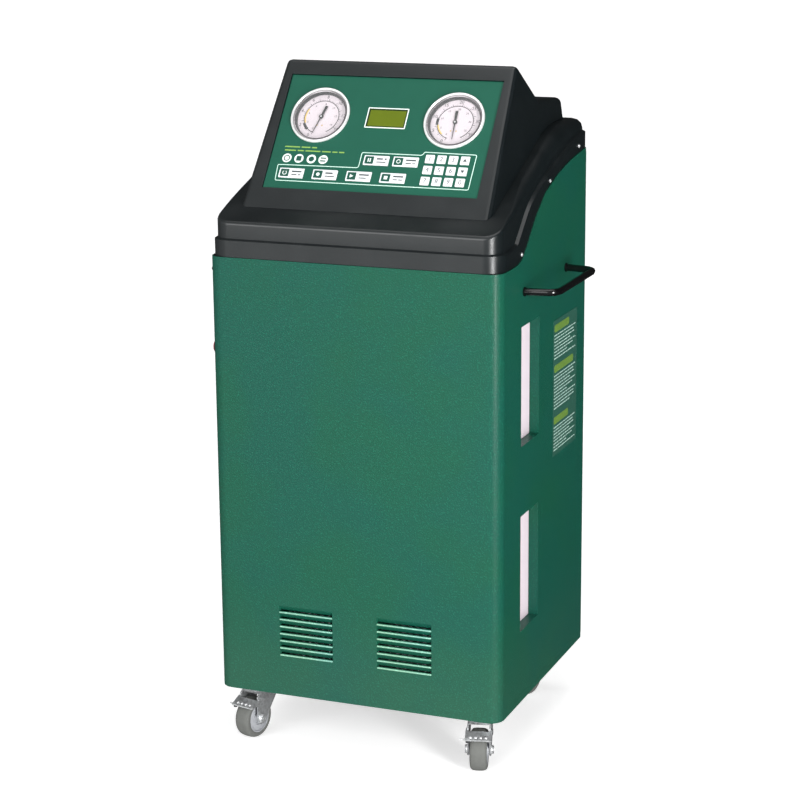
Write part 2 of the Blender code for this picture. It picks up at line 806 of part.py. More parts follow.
def step_in(place, way, inset, rear_inset):
    """Cover outline point moved inwards, with the rear edge moved by its own amount"""
    if place.y > COVER_REAR - COVER_REAR_CORNER - SMALL:
        return place - Vector((inset, rear_inset))
    return place - way * inset


def cover_rings(wall):
    """Rings of the moulded cover from its lower edge to its top face, moved in by the wall"""
    half = half_plan(
        COVER_HALF, COVER_FRONT, COVER_REAR, COVER_CORNER, COVER_REAR_CORNER, side_stations(),
    )
    tongue = half_plan(
        WIDTH / 2 - TONGUE_INSET, FRONT_Y + TONGUE_INSET, REAR_Y - TONGUE_INSET,
        CORNER_RADIUS - TONGUE_INSET, COVER_REAR_CORNER + TONGUE_FALL, side_stations(),
    )
    inside = [[], []]
    for place, way in tongue:
        edge = step_in(place, way, wall, wall)
        height = flange_edge(place.y)
        inside[0].append(Vector((edge.x, edge.y, height - TONGUE_DEPTH)))
        inside[1].append(Vector((edge.x, edge.y, height - TONGUE_FALL - wall)))
    rings = [[], [], []]
    for place, way in half:
        edge = step_in(place, way, wall, wall)
        step = step_in(place, way, LEDGE_STEP + wall, wall)
        rings[0].append(Vector((edge.x, edge.y, flange_edge(place.y))))
        rings[1].append(Vector((edge.x, edge.y, ledge_edge(place.y) - LEDGE_FALL / 2 - wall)))
        rings[2].append(Vector((step.x, step.y, ledge_edge(place.y) + LEDGE_FALL / 2 - wall)))
    round_steps = 1 if wall else 3
    for step in range(round_steps + 1):
        angle = radians(90 * step / round_steps)
        ring = []
        for place, way in half:
            radius = shoulder_radius(place.y)
            thickness = wall * cos(angle)
            inset = LEDGE_STEP + radius * (1 - cos(angle)) + thickness
            spot = step_in(place, way, inset, REAR_EDGE_RADIUS * (1 - cos(angle)) + thickness)
            height = ramp(spot.y) - radius * (1 - sin(angle)) - wall * sin(angle)
            ring.append(Vector((spot.x, spot.y, height)))
        rings.append(ring)
    return [ring_from(ring) for ring in inside + rings]


def shoulder_radius(y):
    """Edge rounding of the cover: small along the front, full along the sides"""
    start = COVER_FRONT + SHOULDER_START
    share = min(max((y - start) / SHOULDER_LENGTH, 0.0), 1.0)
    blend = share * share * (3 - 2 * share)
    full = DECK_EDGE_RADIUS + (SHOULDER_RADIUS - DECK_EDGE_RADIUS) * blend
    return min(full, ramp(y) - ledge_edge(y) - SHOULDER_MARGIN)


def make_cover():
    bm = bmesh.new()
    inner = list(reversed(cover_rings(COVER_WALL)))
    loft(bm, inner + cover_rings(0.0), cap_top=True, cap_bottom=True)
    cover = add_object("top_cover", finish_mesh(bm, "top_cover"), "black_moulding")
    width, depth = WIRE_HOLE
    centre_y = FRONT_Y + CONSOLE_REAR / 2
    hole = box_mesh("wire_hole", (width, depth, 0.3), (0, centre_y, ramp(centre_y)))
    cut(cover, add_guide("wire_hole", hole))
    return cover


def console_side(y, z, inset=0.0):
    """Half width of the console at a place in its side profile"""
    start_y, start_z = FRONT_Y + 0.054, FRONT_TOP + 0.080
    width = CONSOLE_HALF_WIDTH - CONSOLE_LEAN * (z - start_z) + CONSOLE_FLARE * (y - start_y)
    return width - inset


def console_profile(front_in, wall, drop):
    """Side profile: the bezel face, the slope behind it, the hump and the seat on the cover"""
    bottom_v = -0.036
    top_v = PANEL_HEIGHT + BEZEL_TOP
    face = BEZEL_PROUD - front_in
    low = panel_point(0, bottom_v, face)
    peak_v = top_v - wall * 1.6
    peak = panel_point(0, peak_v, face)
    hump_z = ramp(FRONT_Y + HUMP_REAR) + HUMP_HEIGHT
    outline = [
        (low.y, low.z),
        (peak.y, peak.z),
        (FRONT_Y + HUMP_FRONT - wall * 0.3, hump_z + HUMP_FALL - wall),
        (FRONT_Y + HUMP_REAR - wall, hump_z - wall),
        (FRONT_Y + CONSOLE_REAR - wall, ramp(FRONT_Y + CONSOLE_REAR) + GAP),
    ]
    rear = FRONT_Y + CONSOLE_REAR - wall
    outline[0] = (low.y, ramp(low.y) + GAP - drop)
    outline[-1] = (rear, ramp(rear) + GAP - drop)
    for y in reversed(side_stations()):
        if low.y + 2 * CONSOLE_ROUND < y < rear - 2 * CONSOLE_ROUND:
            outline.append((y, ramp(y) + GAP - drop))
    return outline


def console_solid(name, front_in, wall, drop):
    """Wedge between the two leaning side planes"""
    profile = console_profile(front_in, wall, drop)
    bm = bmesh.new()
    sides = []
    for sign in (-1, 1):
        side = []
        for y, z in profile:
            side.append(bm.verts.new((sign * console_side(y, z, wall), y, z)))
        sides.append(side)
    left, right = sides
    bm.faces.new(left)
    bm.faces.new(list(reversed(right)))
    count = len(profile)
    for i in range(count):
        k = (i + 1) % count
        bm.faces.new((left[i], right[i], right[k], left[k]))
    bmesh.ops.recalc_face_normals(bm, faces=bm.faces)
    if not front_in:
        upper = [edge for edge in bm.edges if is_console_edge(edge, profile)]
        bmesh.ops.bevel(
            bm, geom=upper, offset=CONSOLE_ROUND, segments=3, profile=0.5,
            affect="EDGES", clamp_overlap=True,
        )
    return finish_mesh(bm, name)


def is_console_edge(edge, profile):
    """Edges of the bezel, the slope and the hump, and not those on the cover"""
    shown = profile[:5]
    for vert in edge.verts:
        if min(abs(vert.co.y - y) + abs(vert.co.z - z) for y, z in shown) > SMALL:
            return False
    first, second = (vert.co for vert in edge.verts)
    across = abs(first.y - second.y) < SMALL and abs(first.z - second.z) < SMALL
    seat_line = min(ramp(first.y) + 2 * GAP - first.z, ramp(second.y) + 2 * GAP - second.z) > 0
    low_across = across and first.z < ramp(first.y) + 2 * GAP
    return not seat_line and not low_across


def make_console(panel_plane):
    housing = add_object(
        "console_housing", console_solid("console_housing", 0.0, 0.0, 0.0), "black_moulding",
    )
    hollow = console_solid("console_hollow", CONSOLE_FRONT_WALL, CONSOLE_WALL, 0.012)
    cut(housing, add_guide("console_hollow", hollow))
    recess_depth = BEZEL_PROUD + PANEL_THICKNESS + GAP
    margin = 0.010
    recess = box_mesh(
        "panel_recess", (PANEL_WIDTH + 2 * GAP, PANEL_HEIGHT + 2 * GAP, recess_depth + margin),
        (0, PANEL_HEIGHT / 2, BEZEL_PROUD + margin - (recess_depth + margin) / 2),
    )
    cut(housing, add_guide("panel_recess", recess, parent=panel_plane))
    opening = box_mesh(
        "panel_opening",
        (PANEL_WIDTH - 2 * PANEL_LEDGE, PANEL_HEIGHT - 2 * PANEL_LEDGE, 4 * CONSOLE_FRONT_WALL),
        (0, PANEL_HEIGHT / 2, 0),
    )
    cut(housing, add_guide("panel_opening", opening, parent=panel_plane))
    return housing


def gauge_places():
    return {"low": -GAUGE_SPACING / 2, "high": GAUGE_SPACING / 2}


def key_places():
    """Name, centre on the panel and size of each key"""
    keys = []
    labels = ("1", "2", "3", "up", "4", "5", "6", "down", "7", "8", "9", "0")
    for index, label in enumerate(labels):
        column = index % NUMBER_KEY_COLUMNS
        row = index // NUMBER_KEY_COLUMNS
        u = NUMBER_KEY_ORIGIN[0] + NUMBER_KEY_PITCH * column
        v = NUMBER_KEY_ORIGIN[1] - NUMBER_KEY_PITCH * row
        keys.append((f"key_{label}", u, v, NUMBER_KEY))
    for index in range(FUNCTION_KEYS_BELOW):
        u = FUNCTION_KEY_ORIGIN[0] + FUNCTION_KEY_PITCH * index
        keys.append((f"function_key_{index + 1}", u, FUNCTION_KEY_ORIGIN[1], FUNCTION_KEY))
    for index in range(FUNCTION_KEYS_ABOVE):
        u = UPPER_KEY_ORIGIN[0] + UPPER_KEY_PITCH * index
        number = FUNCTION_KEYS_BELOW + index + 1
        keys.append((f"function_key_{number}", u, UPPER_KEY_ORIGIN[1], FUNCTION_KEY))
    return keys


def make_panel(panel_plane):
    """Console panel with holes for the gauges, the display and the keys"""
    plate = box_mesh(
        "control_panel", (PANEL_WIDTH, PANEL_HEIGHT, PANEL_THICKNESS),
        (0, PANEL_HEIGHT / 2, -PANEL_THICKNESS / 2),
    )
    panel = add_object("control_panel", plate, "panel_green", parent=panel_plane)
    depth = 4 * PANEL_THICKNESS
    bm = bmesh.new()
    holes = [(u, v, size) for name, u, v, size in key_places()]
    holes.append((0.0, GAUGE_HEIGHT, (DISPLAY_WIDTH, DISPLAY_HEIGHT)))
    for u, v, size in holes:
        made = bmesh.ops.create_cube(bm, size=1.0)["verts"]
        bmesh.ops.scale(bm, verts=made, vec=(size[0] + 2 * GAP, size[1] + 2 * GAP, depth))
        bmesh.ops.translate(bm, verts=made, vec=(u, v, 0))
    for u in gauge_places().values():
        made = bmesh.ops.create_cone(
            bm, cap_ends=True, segments=GAUGE_STEPS, radius1=GAUGE_CASE_RADIUS + GAP,
            radius2=GAUGE_CASE_RADIUS + GAP, depth=depth,
        )["verts"]
        bmesh.ops.translate(bm, verts=made, vec=(u, GAUGE_HEIGHT, 0))
    cut(panel, add_guide("panel_holes", finish_mesh(bm, "panel_holes"), parent=panel_plane))
    return panel


def make_display(panel_plane):
    thickness = PANEL_THICKNESS + DISPLAY_PROUD
    pane = box_mesh(
        "display_window", (DISPLAY_WIDTH, DISPLAY_HEIGHT, thickness),
        (0, 0, DISPLAY_PROUD - thickness / 2), round_edge=0.0003,
    )
    place = (0, GAUGE_HEIGHT, 0)
    return add_object("display_window", pane, "display_green", panel_plane, place)


def make_gauge(name, u, panel_plane):
    """Case with a flange ring in front, a cup for the dial and a threaded stem behind"""
    ring_top = GAP + GAUGE_RING_HEIGHT
    seat = ring_top - LENS_THICKNESS - 0.0012
    profile = (
        (0.0, -DIAL_DEPTH), (DIAL_RADIUS, -DIAL_DEPTH), (DIAL_RADIUS, seat - GAP),
        (LENS_RADIUS + GAP, seat - GAP), (LENS_RADIUS + GAP, ring_top - 0.0006),
        (LENS_RADIUS + 0.0012, ring_top), (GAUGE_RING_RADIUS - 0.0018, ring_top),
        (GAUGE_RING_RADIUS, ring_top - 0.0018), (GAUGE_RING_RADIUS, GAP),
        (GAUGE_CASE_RADIUS, GAP), (GAUGE_CASE_RADIUS, -GAUGE_CASE_DEPTH + 0.003),
        (GAUGE_CASE_RADIUS - 0.003, -GAUGE_CASE_DEPTH), (STEM_RADIUS, -GAUGE_CASE_DEPTH),
        (STEM_RADIUS, -GAUGE_CASE_DEPTH - STEM_LENGTH), (0.0, -GAUGE_CASE_DEPTH - STEM_LENGTH),
    )
    place = (u, GAUGE_HEIGHT, 0)
    gauge = turned(f"gauge_{name}", profile, "gauge_metal", GAUGE_STEPS, parent=panel_plane)
    gauge.location = place
    lens_profile = (
        (0.0, seat + LENS_THICKNESS + 0.0006), (LENS_RADIUS * 0.6, seat + LENS_THICKNESS + 0.0004),
        (LENS_RADIUS, seat + LENS_THICKNESS - 0.0006), (LENS_RADIUS, seat), (0.0, seat),
    )
    lens = turned(
        f"gauge_lens_{name}", lens_profile, "clear_lens", GAUGE_STEPS, parent=panel_plane,
        location=place,
    )
    return gauge, lens


def make_needle(name, u, panel_plane):
    """Pointer with a broad tail on a hub that turns just above the dial"""
    outline = [(-NEEDLE_WIDTH * 0.25, NEEDLE_LENGTH), (-NEEDLE_WIDTH / 2, 0.0)]
    outline += [(-NEEDLE_TAIL_WIDTH / 2, -NEEDLE_TAIL * 0.3), (-NEEDLE_TAIL_WIDTH / 2, -NEEDLE_TAIL)]
    outline += [(-x, y) for x, y in reversed(outline)]
    base = -DIAL_DEPTH + GAP
    blade_base = base + NEEDLE_HUB_HEIGHT * 0.45
    blade = prism_mesh(f"needle_{name}", outline, NEEDLE_THICKNESS)
    blade.transform(Matrix.Translation((0, 0, blade_base)))
    place = (u, GAUGE_HEIGHT, 0)
    turn = (0, 0, -radians(NEEDLE_REST[name]))
    needle = add_object(f"needle_{name}", blade, "needle_black", panel_plane, place, turn)
    hub = cylinder_mesh(
        f"needle_hub_{name}", NEEDLE_HUB_RADIUS, NEEDLE_HUB_HEIGHT,
        (0, 0, base + NEEDLE_HUB_HEIGHT / 2), segments=12,
    )
    join(needle, add_guide(f"needle_hub_{name}", hub, panel_plane, place, turn))
    return needle


def make_keys(panel_plane):
    """Keys that slide through the panel, each with a softened front edge"""
    depth = KEY_DEPTH + KEY_PROUD
    for name, u, v, size in key_places():
        bm = bmesh.new()
        bmesh.ops.create_cube(bm, size=1.0)
        bmesh.ops.scale(bm, verts=bm.verts, vec=(size[0], size[1], depth))
        front = max(bm.faces, key=lambda face: face.calc_center_median().z)
        bmesh.ops.bevel(
            bm, geom=list(front.edges), offset=KEY_ROUND, segments=1, profile=0.5,
            affect="EDGES", clamp_overlap=True,
        )
        bmesh.ops.translate(bm, verts=bm.verts, vec=(0, 0, KEY_PROUD - depth / 2))
        cap = finish_mesh(bm, name, smooth=False)
        add_object(name, cap, "key_face", panel_plane, (u, v, 0))


def handle_path(side):
    """Centre line of a handle: out, round a bend, along the side and back"""
    start = side * (WIDTH / 2 + GAP + HANDLE_FOOT_HEIGHT / 2)
    far = side * (WIDTH / 2 + HANDLE_REACH)
    centre = FRONT_Y + HANDLE_CENTRE
    half = HANDLE_SPACING / 2
    bar_end = half - HANDLE_SPLAY
    front = [(start, centre - half)]
    bend_steps = 4
    for step in range(bend_steps + 1):
        angle = pi / 2 * step / bend_steps
        x = far - side * HANDLE_BEND * (1 - sin(angle))
        front.append((x, centre - bar_end + HANDLE_BEND * (1 - cos(angle))))
    path = front + [(x, 2 * centre - y) for x, y in reversed(front)]
    return [(x, y, HANDLE_HEIGHT) for x, y in path]


def make_handle(name, side):
    tube = tube_mesh(name, handle_path(side), HANDLE_TUBE)
    handle = add_object(name, tube, "black_tube")
    centre = FRONT_Y + HANDLE_CENTRE
    for end in (-1, 1):
        place = (
            side * (WIDTH / 2 + GAP + HANDLE_FOOT_HEIGHT / 2), centre + end * HANDLE_SPACING / 2,
            HANDLE_HEIGHT,
        )
        foot = cylinder_mesh(
            f"{name}_foot_{end}", HANDLE_FOOT_RADIUS, HANDLE_FOOT_HEIGHT, place, axis="X",
        )
        join(handle, add_guide(f"{name}_foot_{end}", foot))
    return handle


def make_stop_button():
    """Mushroom head on a stem through the left side"""
    travel_gap = STOP_TRAVEL + 0.0010
    neck = STOP_STEM_RADIUS
    profile = (
        (0.0, STOP_REACH), (STOP_HEAD_RADIUS * 0.55, STOP_REACH - 0.0008),
        (STOP_HEAD_RADIUS * 0.85, STOP_REACH - 0.0030), (STOP_HEAD_RADIUS, STOP_REACH - 0.0070),
        (STOP_HEAD_RADIUS, STOP_REACH - 0.0120), (neck, travel_gap + 0.0035), (neck, -0.0200),
        (0.0, -0.0200),
    )
    place = (-WIDTH / 2, FRONT_Y + STOP_FROM_FRONT, STOP_HEIGHT)
    return turned(
        "stop_button", profile, "stop_red", 20, location=place, rotation=(0, -pi / 2, 0),
    )


def caster_frame(name):
    """Empty on a caster's swivel axis, turned to the caster's heading"""
    side, end, heading, braked = CASTERS[name]
    inset = CASTER_INSET_X if end < 0 else CASTER_REAR_INSET_X
    x = side * (WIDTH / 2 - inset)
    y = FRONT_Y + CASTER_INSET_Y if end < 0 else REAR_Y - CASTER_REAR_INSET
    return add_empty(f"{name}_swivel", (x, y, 0.0), (0, 0, radians(heading)))


def make_caster_plate(name, frame):
    """Bolted top plate with the upper bearing race and the kingpin"""
    top = CABINET_BOTTOM - GAP
    under = top - PLATE_THICKNESS
    race = under - RACE_HEIGHT
    pin_end = race - 2 * GAP - 2 * FORK_SHEET
    plate = box_mesh(
        f"{name}_plate", (PLATE_SIZE, PLATE_SIZE, PLATE_THICKNESS),
        (0, 0, top - PLATE_THICKNESS / 2),
    )
    place = (frame.location.x, frame.location.y, 0.0)
    item = add_object(f"{name}_caster_plate", plate, "zinc", location=place)
    profile = (
        (0.0, under + 0.0005), (RACE_RADIUS * 0.75, under + 0.0005), (RACE_RADIUS, under - 0.003),
        (RACE_RADIUS, race + 0.0015), (RACE_RADIUS - 0.0015, race), (KINGPIN_RADIUS, race),
        (KINGPIN_RADIUS, pin_end), (0.0, pin_end),
    )
    join(item, turned(f"{name}_race", profile, None, 16, guide=True, location=place))
    return item


def fork_top():
    return CABINET_BOTTOM - 2 * GAP - PLATE_THICKNESS - RACE_HEIGHT


def fork_side_outline():
    """Fork seen from the side, as (y, z) with -Y ahead of the swivel axis"""
    top = fork_top()
    heel = FORK_HEEL
    outline = [(heel, top), (heel + 0.0015, top - 0.0080)]
    outline += arc((-WHEEL_TRAIL, WHEEL_RADIUS), FORK_FOOT, 325, 180, 5)
    outline += [(-WHEEL_TRAIL - FORK_FOOT, top - 0.0070), (-WHEEL_TRAIL - 0.0040, top)]
    return outline


def fork_section_outline():
    """Channel section of the fork, as (x, z)"""
    top = fork_top()
    low = WHEEL_RADIUS - 2 * FORK_FOOT
    half = FORK_WIDTH / 2
    inner = half - FORK_SHEET
    fold = 0.0020
    return [
        (-half, low), (-inner, low), (-inner, top - FORK_SHEET), (inner, top - FORK_SHEET),
        (inner, low), (half, low), (half, top - fold), (half - fold, top), (fold - half, top),
        (-half, top - fold),
    ]


def make_fork(name, frame):
    """Pressed fork: a channel cut to the shape of its arms, with the axle through them"""
    reach = 2 * FORK_TOP_RADIUS
    section = prism_mesh(f"{name}_caster_fork", fork_section_outline(), 2 * reach)
    section.transform(Matrix(((1, 0, 0, 0), (0, 0, -1, reach), (0, 1, 0, 0), (0, 0, 0, 1))))
    fork = add_object(f"{name}_caster_fork", section, "zinc", parent=frame)
    side = side_prism(f"{name}_fork_side", fork_side_outline(), -FORK_WIDTH, 2 * FORK_WIDTH)
    combine(fork, add_guide(f"{name}_fork_side", side, parent=frame), "INTERSECT")
    bore_radius = KINGPIN_RADIUS + BORE_GAP
    hole = cylinder_mesh(f"{name}_pin_hole", bore_radius, 0.03, (0, 0, fork_top()), segments=12)
    cut(fork, add_guide(f"{name}_pin_hole", hole, parent=frame))
    half = FORK_WIDTH / 2 + AXLE_HEAD_HEIGHT
    head = FORK_WIDTH / 2 - FORK_SHEET / 2
    axle_profile = (
        (0.0, half), (AXLE_HEAD_RADIUS, half), (AXLE_HEAD_RADIUS, head), (AXLE_RADIUS, head),
        (AXLE_RADIUS, -head), (AXLE_HEAD_RADIUS, -head), (AXLE_HEAD_RADIUS, -half), (0.0, -half),
    )
    axle = turned(
        f"{name}_axle", axle_profile, None, 12, guide=True, parent=frame,
        location=(0, -WHEEL_TRAIL, WHEEL_RADIUS), rotation=(0, pi / 2, 0),
    )
    join(fork, axle)
    if CASTERS[name][3]:
        forward, height = PEDAL_PIVOT
        bore = cylinder_mesh(
            f"{name}_pedal_bore", PEDAL_PIVOT_RADIUS + GAP, 2 * FORK_WIDTH, (0, -forward, height),
            axis="X", segments=12,
        )
        cut(fork, add_guide(f"{name}_pedal_bore", bore, parent=frame))
    return fork


def make_wheel(name, frame):
    """Crowned tread on a recessed hub, bored for the axle"""
    half = WHEEL_WIDTH / 2
    rim = WHEEL_RADIUS * 0.70
    hub = AXLE_RADIUS * 2.4
    bore = AXLE_RADIUS + BORE_GAP
    outer = [
        (bore, half + WHEEL_BOSS), (hub, half + WHEEL_BOSS), (hub, half - 0.0030),
        (rim, half - 0.0030), (WHEEL_RADIUS - 0.0045, half),
        (WHEEL_RADIUS, half - 0.0060),
    ]
    profile = outer + [(radius, -height) for radius, height in reversed(outer)]
    return turned(
        f"{name}_wheel", profile, "grey_tread", 18, closed=True, parent=frame,
        location=(0, -WHEEL_TRAIL, WHEEL_RADIUS), rotation=(0, pi / 2, 0),
    )


def pedal_outline():
    """Ear of the brake pedal from its pivot to the plate's front, as (y, z)"""
    forward, height = PEDAL_PIVOT
    start, end = PEDAL_FRONT
    high, low = PEDAL_LEVELS
    outline = arc((-forward, height), PEDAL_EAR, 50, -90, 5)
    outline += [(-start + 0.002, high - 0.0085), (-end, low - PEDAL_THICKNESS), (-end, low)]
    outline += [(-start, high), (0.006 - start, high + 0.0010)]
    return outline


def make_pedal(name, frame):
    """Stamped brake pedal: a sloping plate ahead of the arms and two ears on pivots"""
    forward, height = PEDAL_PIVOT
    start, end = PEDAL_FRONT
    high, low = PEDAL_LEVELS
    inner = FORK_WIDTH / 2 + GAP
    half = inner + PEDAL_THICKNESS
    outline = [(-start, high), (-end, low), (-end, low - PEDAL_THICKNESS)]
    outline += [(-start, high - PEDAL_THICKNESS)]
    plate = side_prism(f"{name}_brake_pedal", outline, -half, 2 * half)
    place = (0, -forward, height)
    plate.transform(Matrix.Translation((0, forward, -height)))
    pedal = add_object(f"{name}_brake_pedal", plate, "zinc", frame, place)
    for side in (-1, 1):
        left = inner if side > 0 else -half
        ear = side_prism(f"{name}_ear_{side}", pedal_outline(), left, PEDAL_THICKNESS)
        join(pedal, add_guide(f"{name}_ear_{side}", ear, parent=frame))
        stub_length = FORK_SHEET + PEDAL_THICKNESS / 2 + GAP
        stub_centre = side * (inner + PEDAL_THICKNESS / 2 - stub_length / 2)
        stub = cylinder_mesh(
            f"{name}_stub_{side}", PEDAL_PIVOT_RADIUS, stub_length,
            (stub_centre, -forward, height), axis="X", segments=12,
        )
        join(pedal, add_guide(f"{name}_stub_{side}", stub, parent=frame))
    return pedal


def make_casters():
    for name, (side, end, heading, braked) in CASTERS.items():
        frame = caster_frame(name)
        make_caster_plate(name, frame)
        make_fork(name, frame)
        make_wheel(name, frame)
        if braked:
            make_pedal(name, frame)


def make_door():
    """Folded tray with vent slots, hung on two lift-off hinges at its left edge"""
    half = WIDTH / 2 - DOOR_MARGIN
    inner = REAR_Y + GAP
    outer = inner + DOOR_DEPTH
    bottom = CABINET_BOTTOM + DOOR_BOTTOM_MARGIN
    axis = hinge_axis()
    corner = 0.004
    outline = []
    for x, z, start in (
        (half - corner, bottom + corner, 270), (half - corner, DOOR_TOP - corner, 0),
        (-half + corner, DOOR_TOP - corner, 90), (-half + corner, bottom + corner, 180),
    ):
        outline += arc((x, z), corner, start, start + 90, 3)
    bm = bmesh.new()
    rows = []
    for y, inset in ((inner, 0.0), (outer - 0.001, 0.0), (outer, 0.001)):
        row = []
        for x, z in outline:
            spot_x = x - inset * (1 if x > 0 else -1)
            spot_z = z - inset * (1 if z > (bottom + DOOR_TOP) / 2 else -1)
            row.append(bm.verts.new((spot_x - axis.x, y - axis.y, spot_z)))
        rows.append(row)
    count = len(outline)
    for near, far in zip(rows, rows[1:]):
        for i in range(count):
            k = (i + 1) % count
            bm.faces.new((near[i], near[k], far[k], far[i]))
    bm.faces.new(rows[-1])
    bmesh.ops.recalc_face_normals(bm, faces=bm.faces)
    outside = max(bm.faces, key=lambda face: face.calc_center_median().y)
    if outside.normal.y < 0:
        bmesh.ops.reverse_faces(bm, faces=bm.faces)
    tray = finish_mesh(bm, "rear_door", smooth=False)
    door = add_object("rear_door", tray, "green_paint", location=(axis.x, axis.y, 0))
    thicken(door, SHEET)
    cut(door, add_guide("door_vents", door_vents(outer)))
    lock_x = WIDTH / 2 - LOCK_INSET
    lock_hole = cylinder_mesh(
        "lock_hole", LOCK_STEM_RADIUS + GAP, 0.03, (lock_x, outer, LOCK_HEIGHT), axis="Y",
    )
    cut(door, add_guide("lock_hole", lock_hole))
    for level, height in enumerate(HINGE_LEVELS):
        join(door, moving_hinge(f"moving_hinge_{level}", height, outer))
    return door


def door_vents(outer):
    bm = bmesh.new()
    width, height = DOOR_VENT
    for index in range(DOOR_VENT_COUNT):
        made = bmesh.ops.create_cube(bm, size=1.0)["verts"]
        bmesh.ops.scale(bm, verts=made, vec=(width, 0.03, height))
        z = DOOR_VENT_TOP - DOOR_VENT_PITCH * index
        bmesh.ops.translate(bm, verts=made, vec=(0, outer, z))
    return finish_mesh(bm, "door_vents")


def moving_hinge(name, height, outer):
    """Upper knuckle over the pin, with the leaf that joins it to the door"""
    axis = hinge_axis()
    half = HINGE_HEIGHT / 2
    bore = HINGE_PIN_RADIUS + GAP
    low = height + GAP
    profile = (
        (bore, height + half), (HINGE_RADIUS, height + half), (HINGE_RADIUS, low), (bore, low),
    )
    knuckle = turned(
        name, profile, None, 16, closed=True, guide=True, location=(axis.x, axis.y, 0),
    )
    thickness = 0.0013
    left = axis.x
    right = -WIDTH / 2 + DOOR_MARGIN + 0.012
    leaf_y = outer - thickness / 2 - 0.0002
    leaf = box_mesh(
        name + "_leaf", (right - left, thickness, half - GAP - 0.001),
        ((left + right) / 2, leaf_y, low + (half - GAP) / 2),
    )
    leaf_guide = add_guide(name + "_leaf", leaf)
    clear = cylinder_mesh(
        name + "_bore", bore, HINGE_HEIGHT, (axis.x, axis.y, height), segments=16,
    )
    cut(leaf_guide, add_guide(name + "_bore", clear))
    join(knuckle, leaf_guide)
    return knuckle


def make_lock():
    """Quarter-turn lock: a slotted head outside and a tongue inside the door"""
    outer = REAR_Y + GAP + DOOR_DEPTH
    width, length, thickness = LOCK_TONGUE
    tail = -DOOR_DEPTH - LOCK_TONGUE_GAP
    profile = (
        (0.0, LOCK_PROUD), (LOCK_RADIUS - 0.001, LOCK_PROUD), (LOCK_RADIUS, LOCK_PROUD - 0.001),
        (LOCK_RADIUS, GAP), (LOCK_STEM_RADIUS, GAP), (LOCK_STEM_RADIUS, tail), (0.0, tail),
    )
    place = (WIDTH / 2 - LOCK_INSET, outer, LOCK_HEIGHT)
    turn = (-pi / 2, 0, 0)
    lock = turned("door_lock", profile, "zinc", 12, location=place, rotation=turn)
    slot = box_mesh("lock_slot", (0.0030, LOCK_RADIUS * 1.5, 0.0040), (0, 0, LOCK_PROUD))
    cut(lock, add_guide("lock_slot", slot, None, place, turn))
    tongue = box_mesh(
        "lock_tongue", (width, length, thickness),
        (0, -length / 2 + width / 2, tail + thickness / 2), round_edge=0.0004,
    )
    join(lock, add_guide("lock_tongue", tongue, None, place, turn))
    return lock


def make_scale():
    """Weighing platform: a plate carried by the load cell under it"""
    floor = CABINET_BOTTOM + PAN_WALL + GAP
    x, y = TANK_CENTRE
    cell = SCALE_CELL
    width, depth = SCALE_SIZE
    plate = box_mesh(
        "scale_platform", (width, depth, SCALE_PLATE),
        (x, y, floor + cell[2] + SCALE_PLATE / 2), round_edge=0.001,
    )
    scale = add_object("scale_platform", plate, "aluminium")
    block = box_mesh(
        "load_cell", (cell[0], cell[1], cell[2] + 0.001), (x, y, floor + cell[2] / 2 + 0.0005),
    )
    join(scale, add_guide("load_cell", block))
    return scale


def dome(radius, height, base, angles):
    """Points of a shallow dome at angles from its top, in degrees"""
    points = []
    for angle in angles:
        turn = radians(angle)
        points.append((radius * sin(turn), base + height * cos(turn)))
    return points


def make_tank():
    """Hollow refrigerant cylinder with a foot ring, domed ends and a bored valve"""
    base = CABINET_BOTTOM + PAN_WALL + 2 * GAP + SCALE_CELL[2] + SCALE_PLATE
    radius = TANK_RADIUS
    inner = radius - TANK_WALL
    rise = radius * 0.32
    top = base + TANK_HEIGHT
    shoulder = top - 0.070
    low = base + 0.040
    foot = radius * 0.86
    profile = [(0.0, low + TANK_WALL), (foot * 0.6, low + TANK_WALL + 0.004)]
    profile += [(inner * 0.97, low + rise * 0.75), (inner, low + rise + 0.004)]
    profile += dome(inner, rise - TANK_WALL, shoulder, (90, 62, 34, 12))
    profile += [(TANK_BORE, shoulder + rise - TANK_WALL), (TANK_BORE, top), (0.014, top)]
    profile += [(0.016, top - 0.004), (0.016, top - 0.022), (0.010, top - 0.026)]
    profile += [(0.010, shoulder + rise)]
    profile += dome(radius, rise, shoulder, (12, 34, 62, 90))
    profile += [(radius, low + rise), (foot, low + rise * 0.35), (foot, base)]
    profile += [(foot - TANK_WALL, base), (foot - TANK_WALL, low + rise * 0.25)]
    profile += [(foot * 0.6, low + 0.001), (0.0, low - 0.002)]
    x, y = TANK_CENTRE
    return turned("refrigerant_tank", profile, "tank_paint", 18, location=(x, y, 0))


def make_compressor():
    """Welded round housing on a foot plate"""
    floor = CABINET_BOTTOM + PAN_WALL + GAP
    radius = COMPRESSOR_RADIUS
    top = floor + COMPRESSOR_HEIGHT
    profile = [(0.0, top)]
    for step in range(1, 5):
        angle = radians(22.5 * step)
        profile.append((radius * sin(angle), top - 0.028 + 0.028 * cos(angle)))
    seam = floor + COMPRESSOR_HEIGHT * 0.55
    profile += [
        (radius, seam + 0.004), (radius + 0.004, seam + 0.003), (radius + 0.004, seam - 0.003),
        (radius, seam - 0.004), (radius, floor + 0.030), (radius * 0.8, floor + 0.012),
        (radius * 0.8, floor + 0.003), (0.0, floor + 0.003),
    ]
    x, y = COMPRESSOR_CENTRE
    compressor = turned("compressor", profile, "black_steel", 18, location=(x, y, 0))
    foot = box_mesh(
        "compressor_foot", (2 * radius + 0.020, 2 * radius + 0.020, 0.006), (x, y, floor + 0.003),
        round_edge=0.001,
    )
    join(compressor, add_guide("compressor_foot", foot))
    return compressor


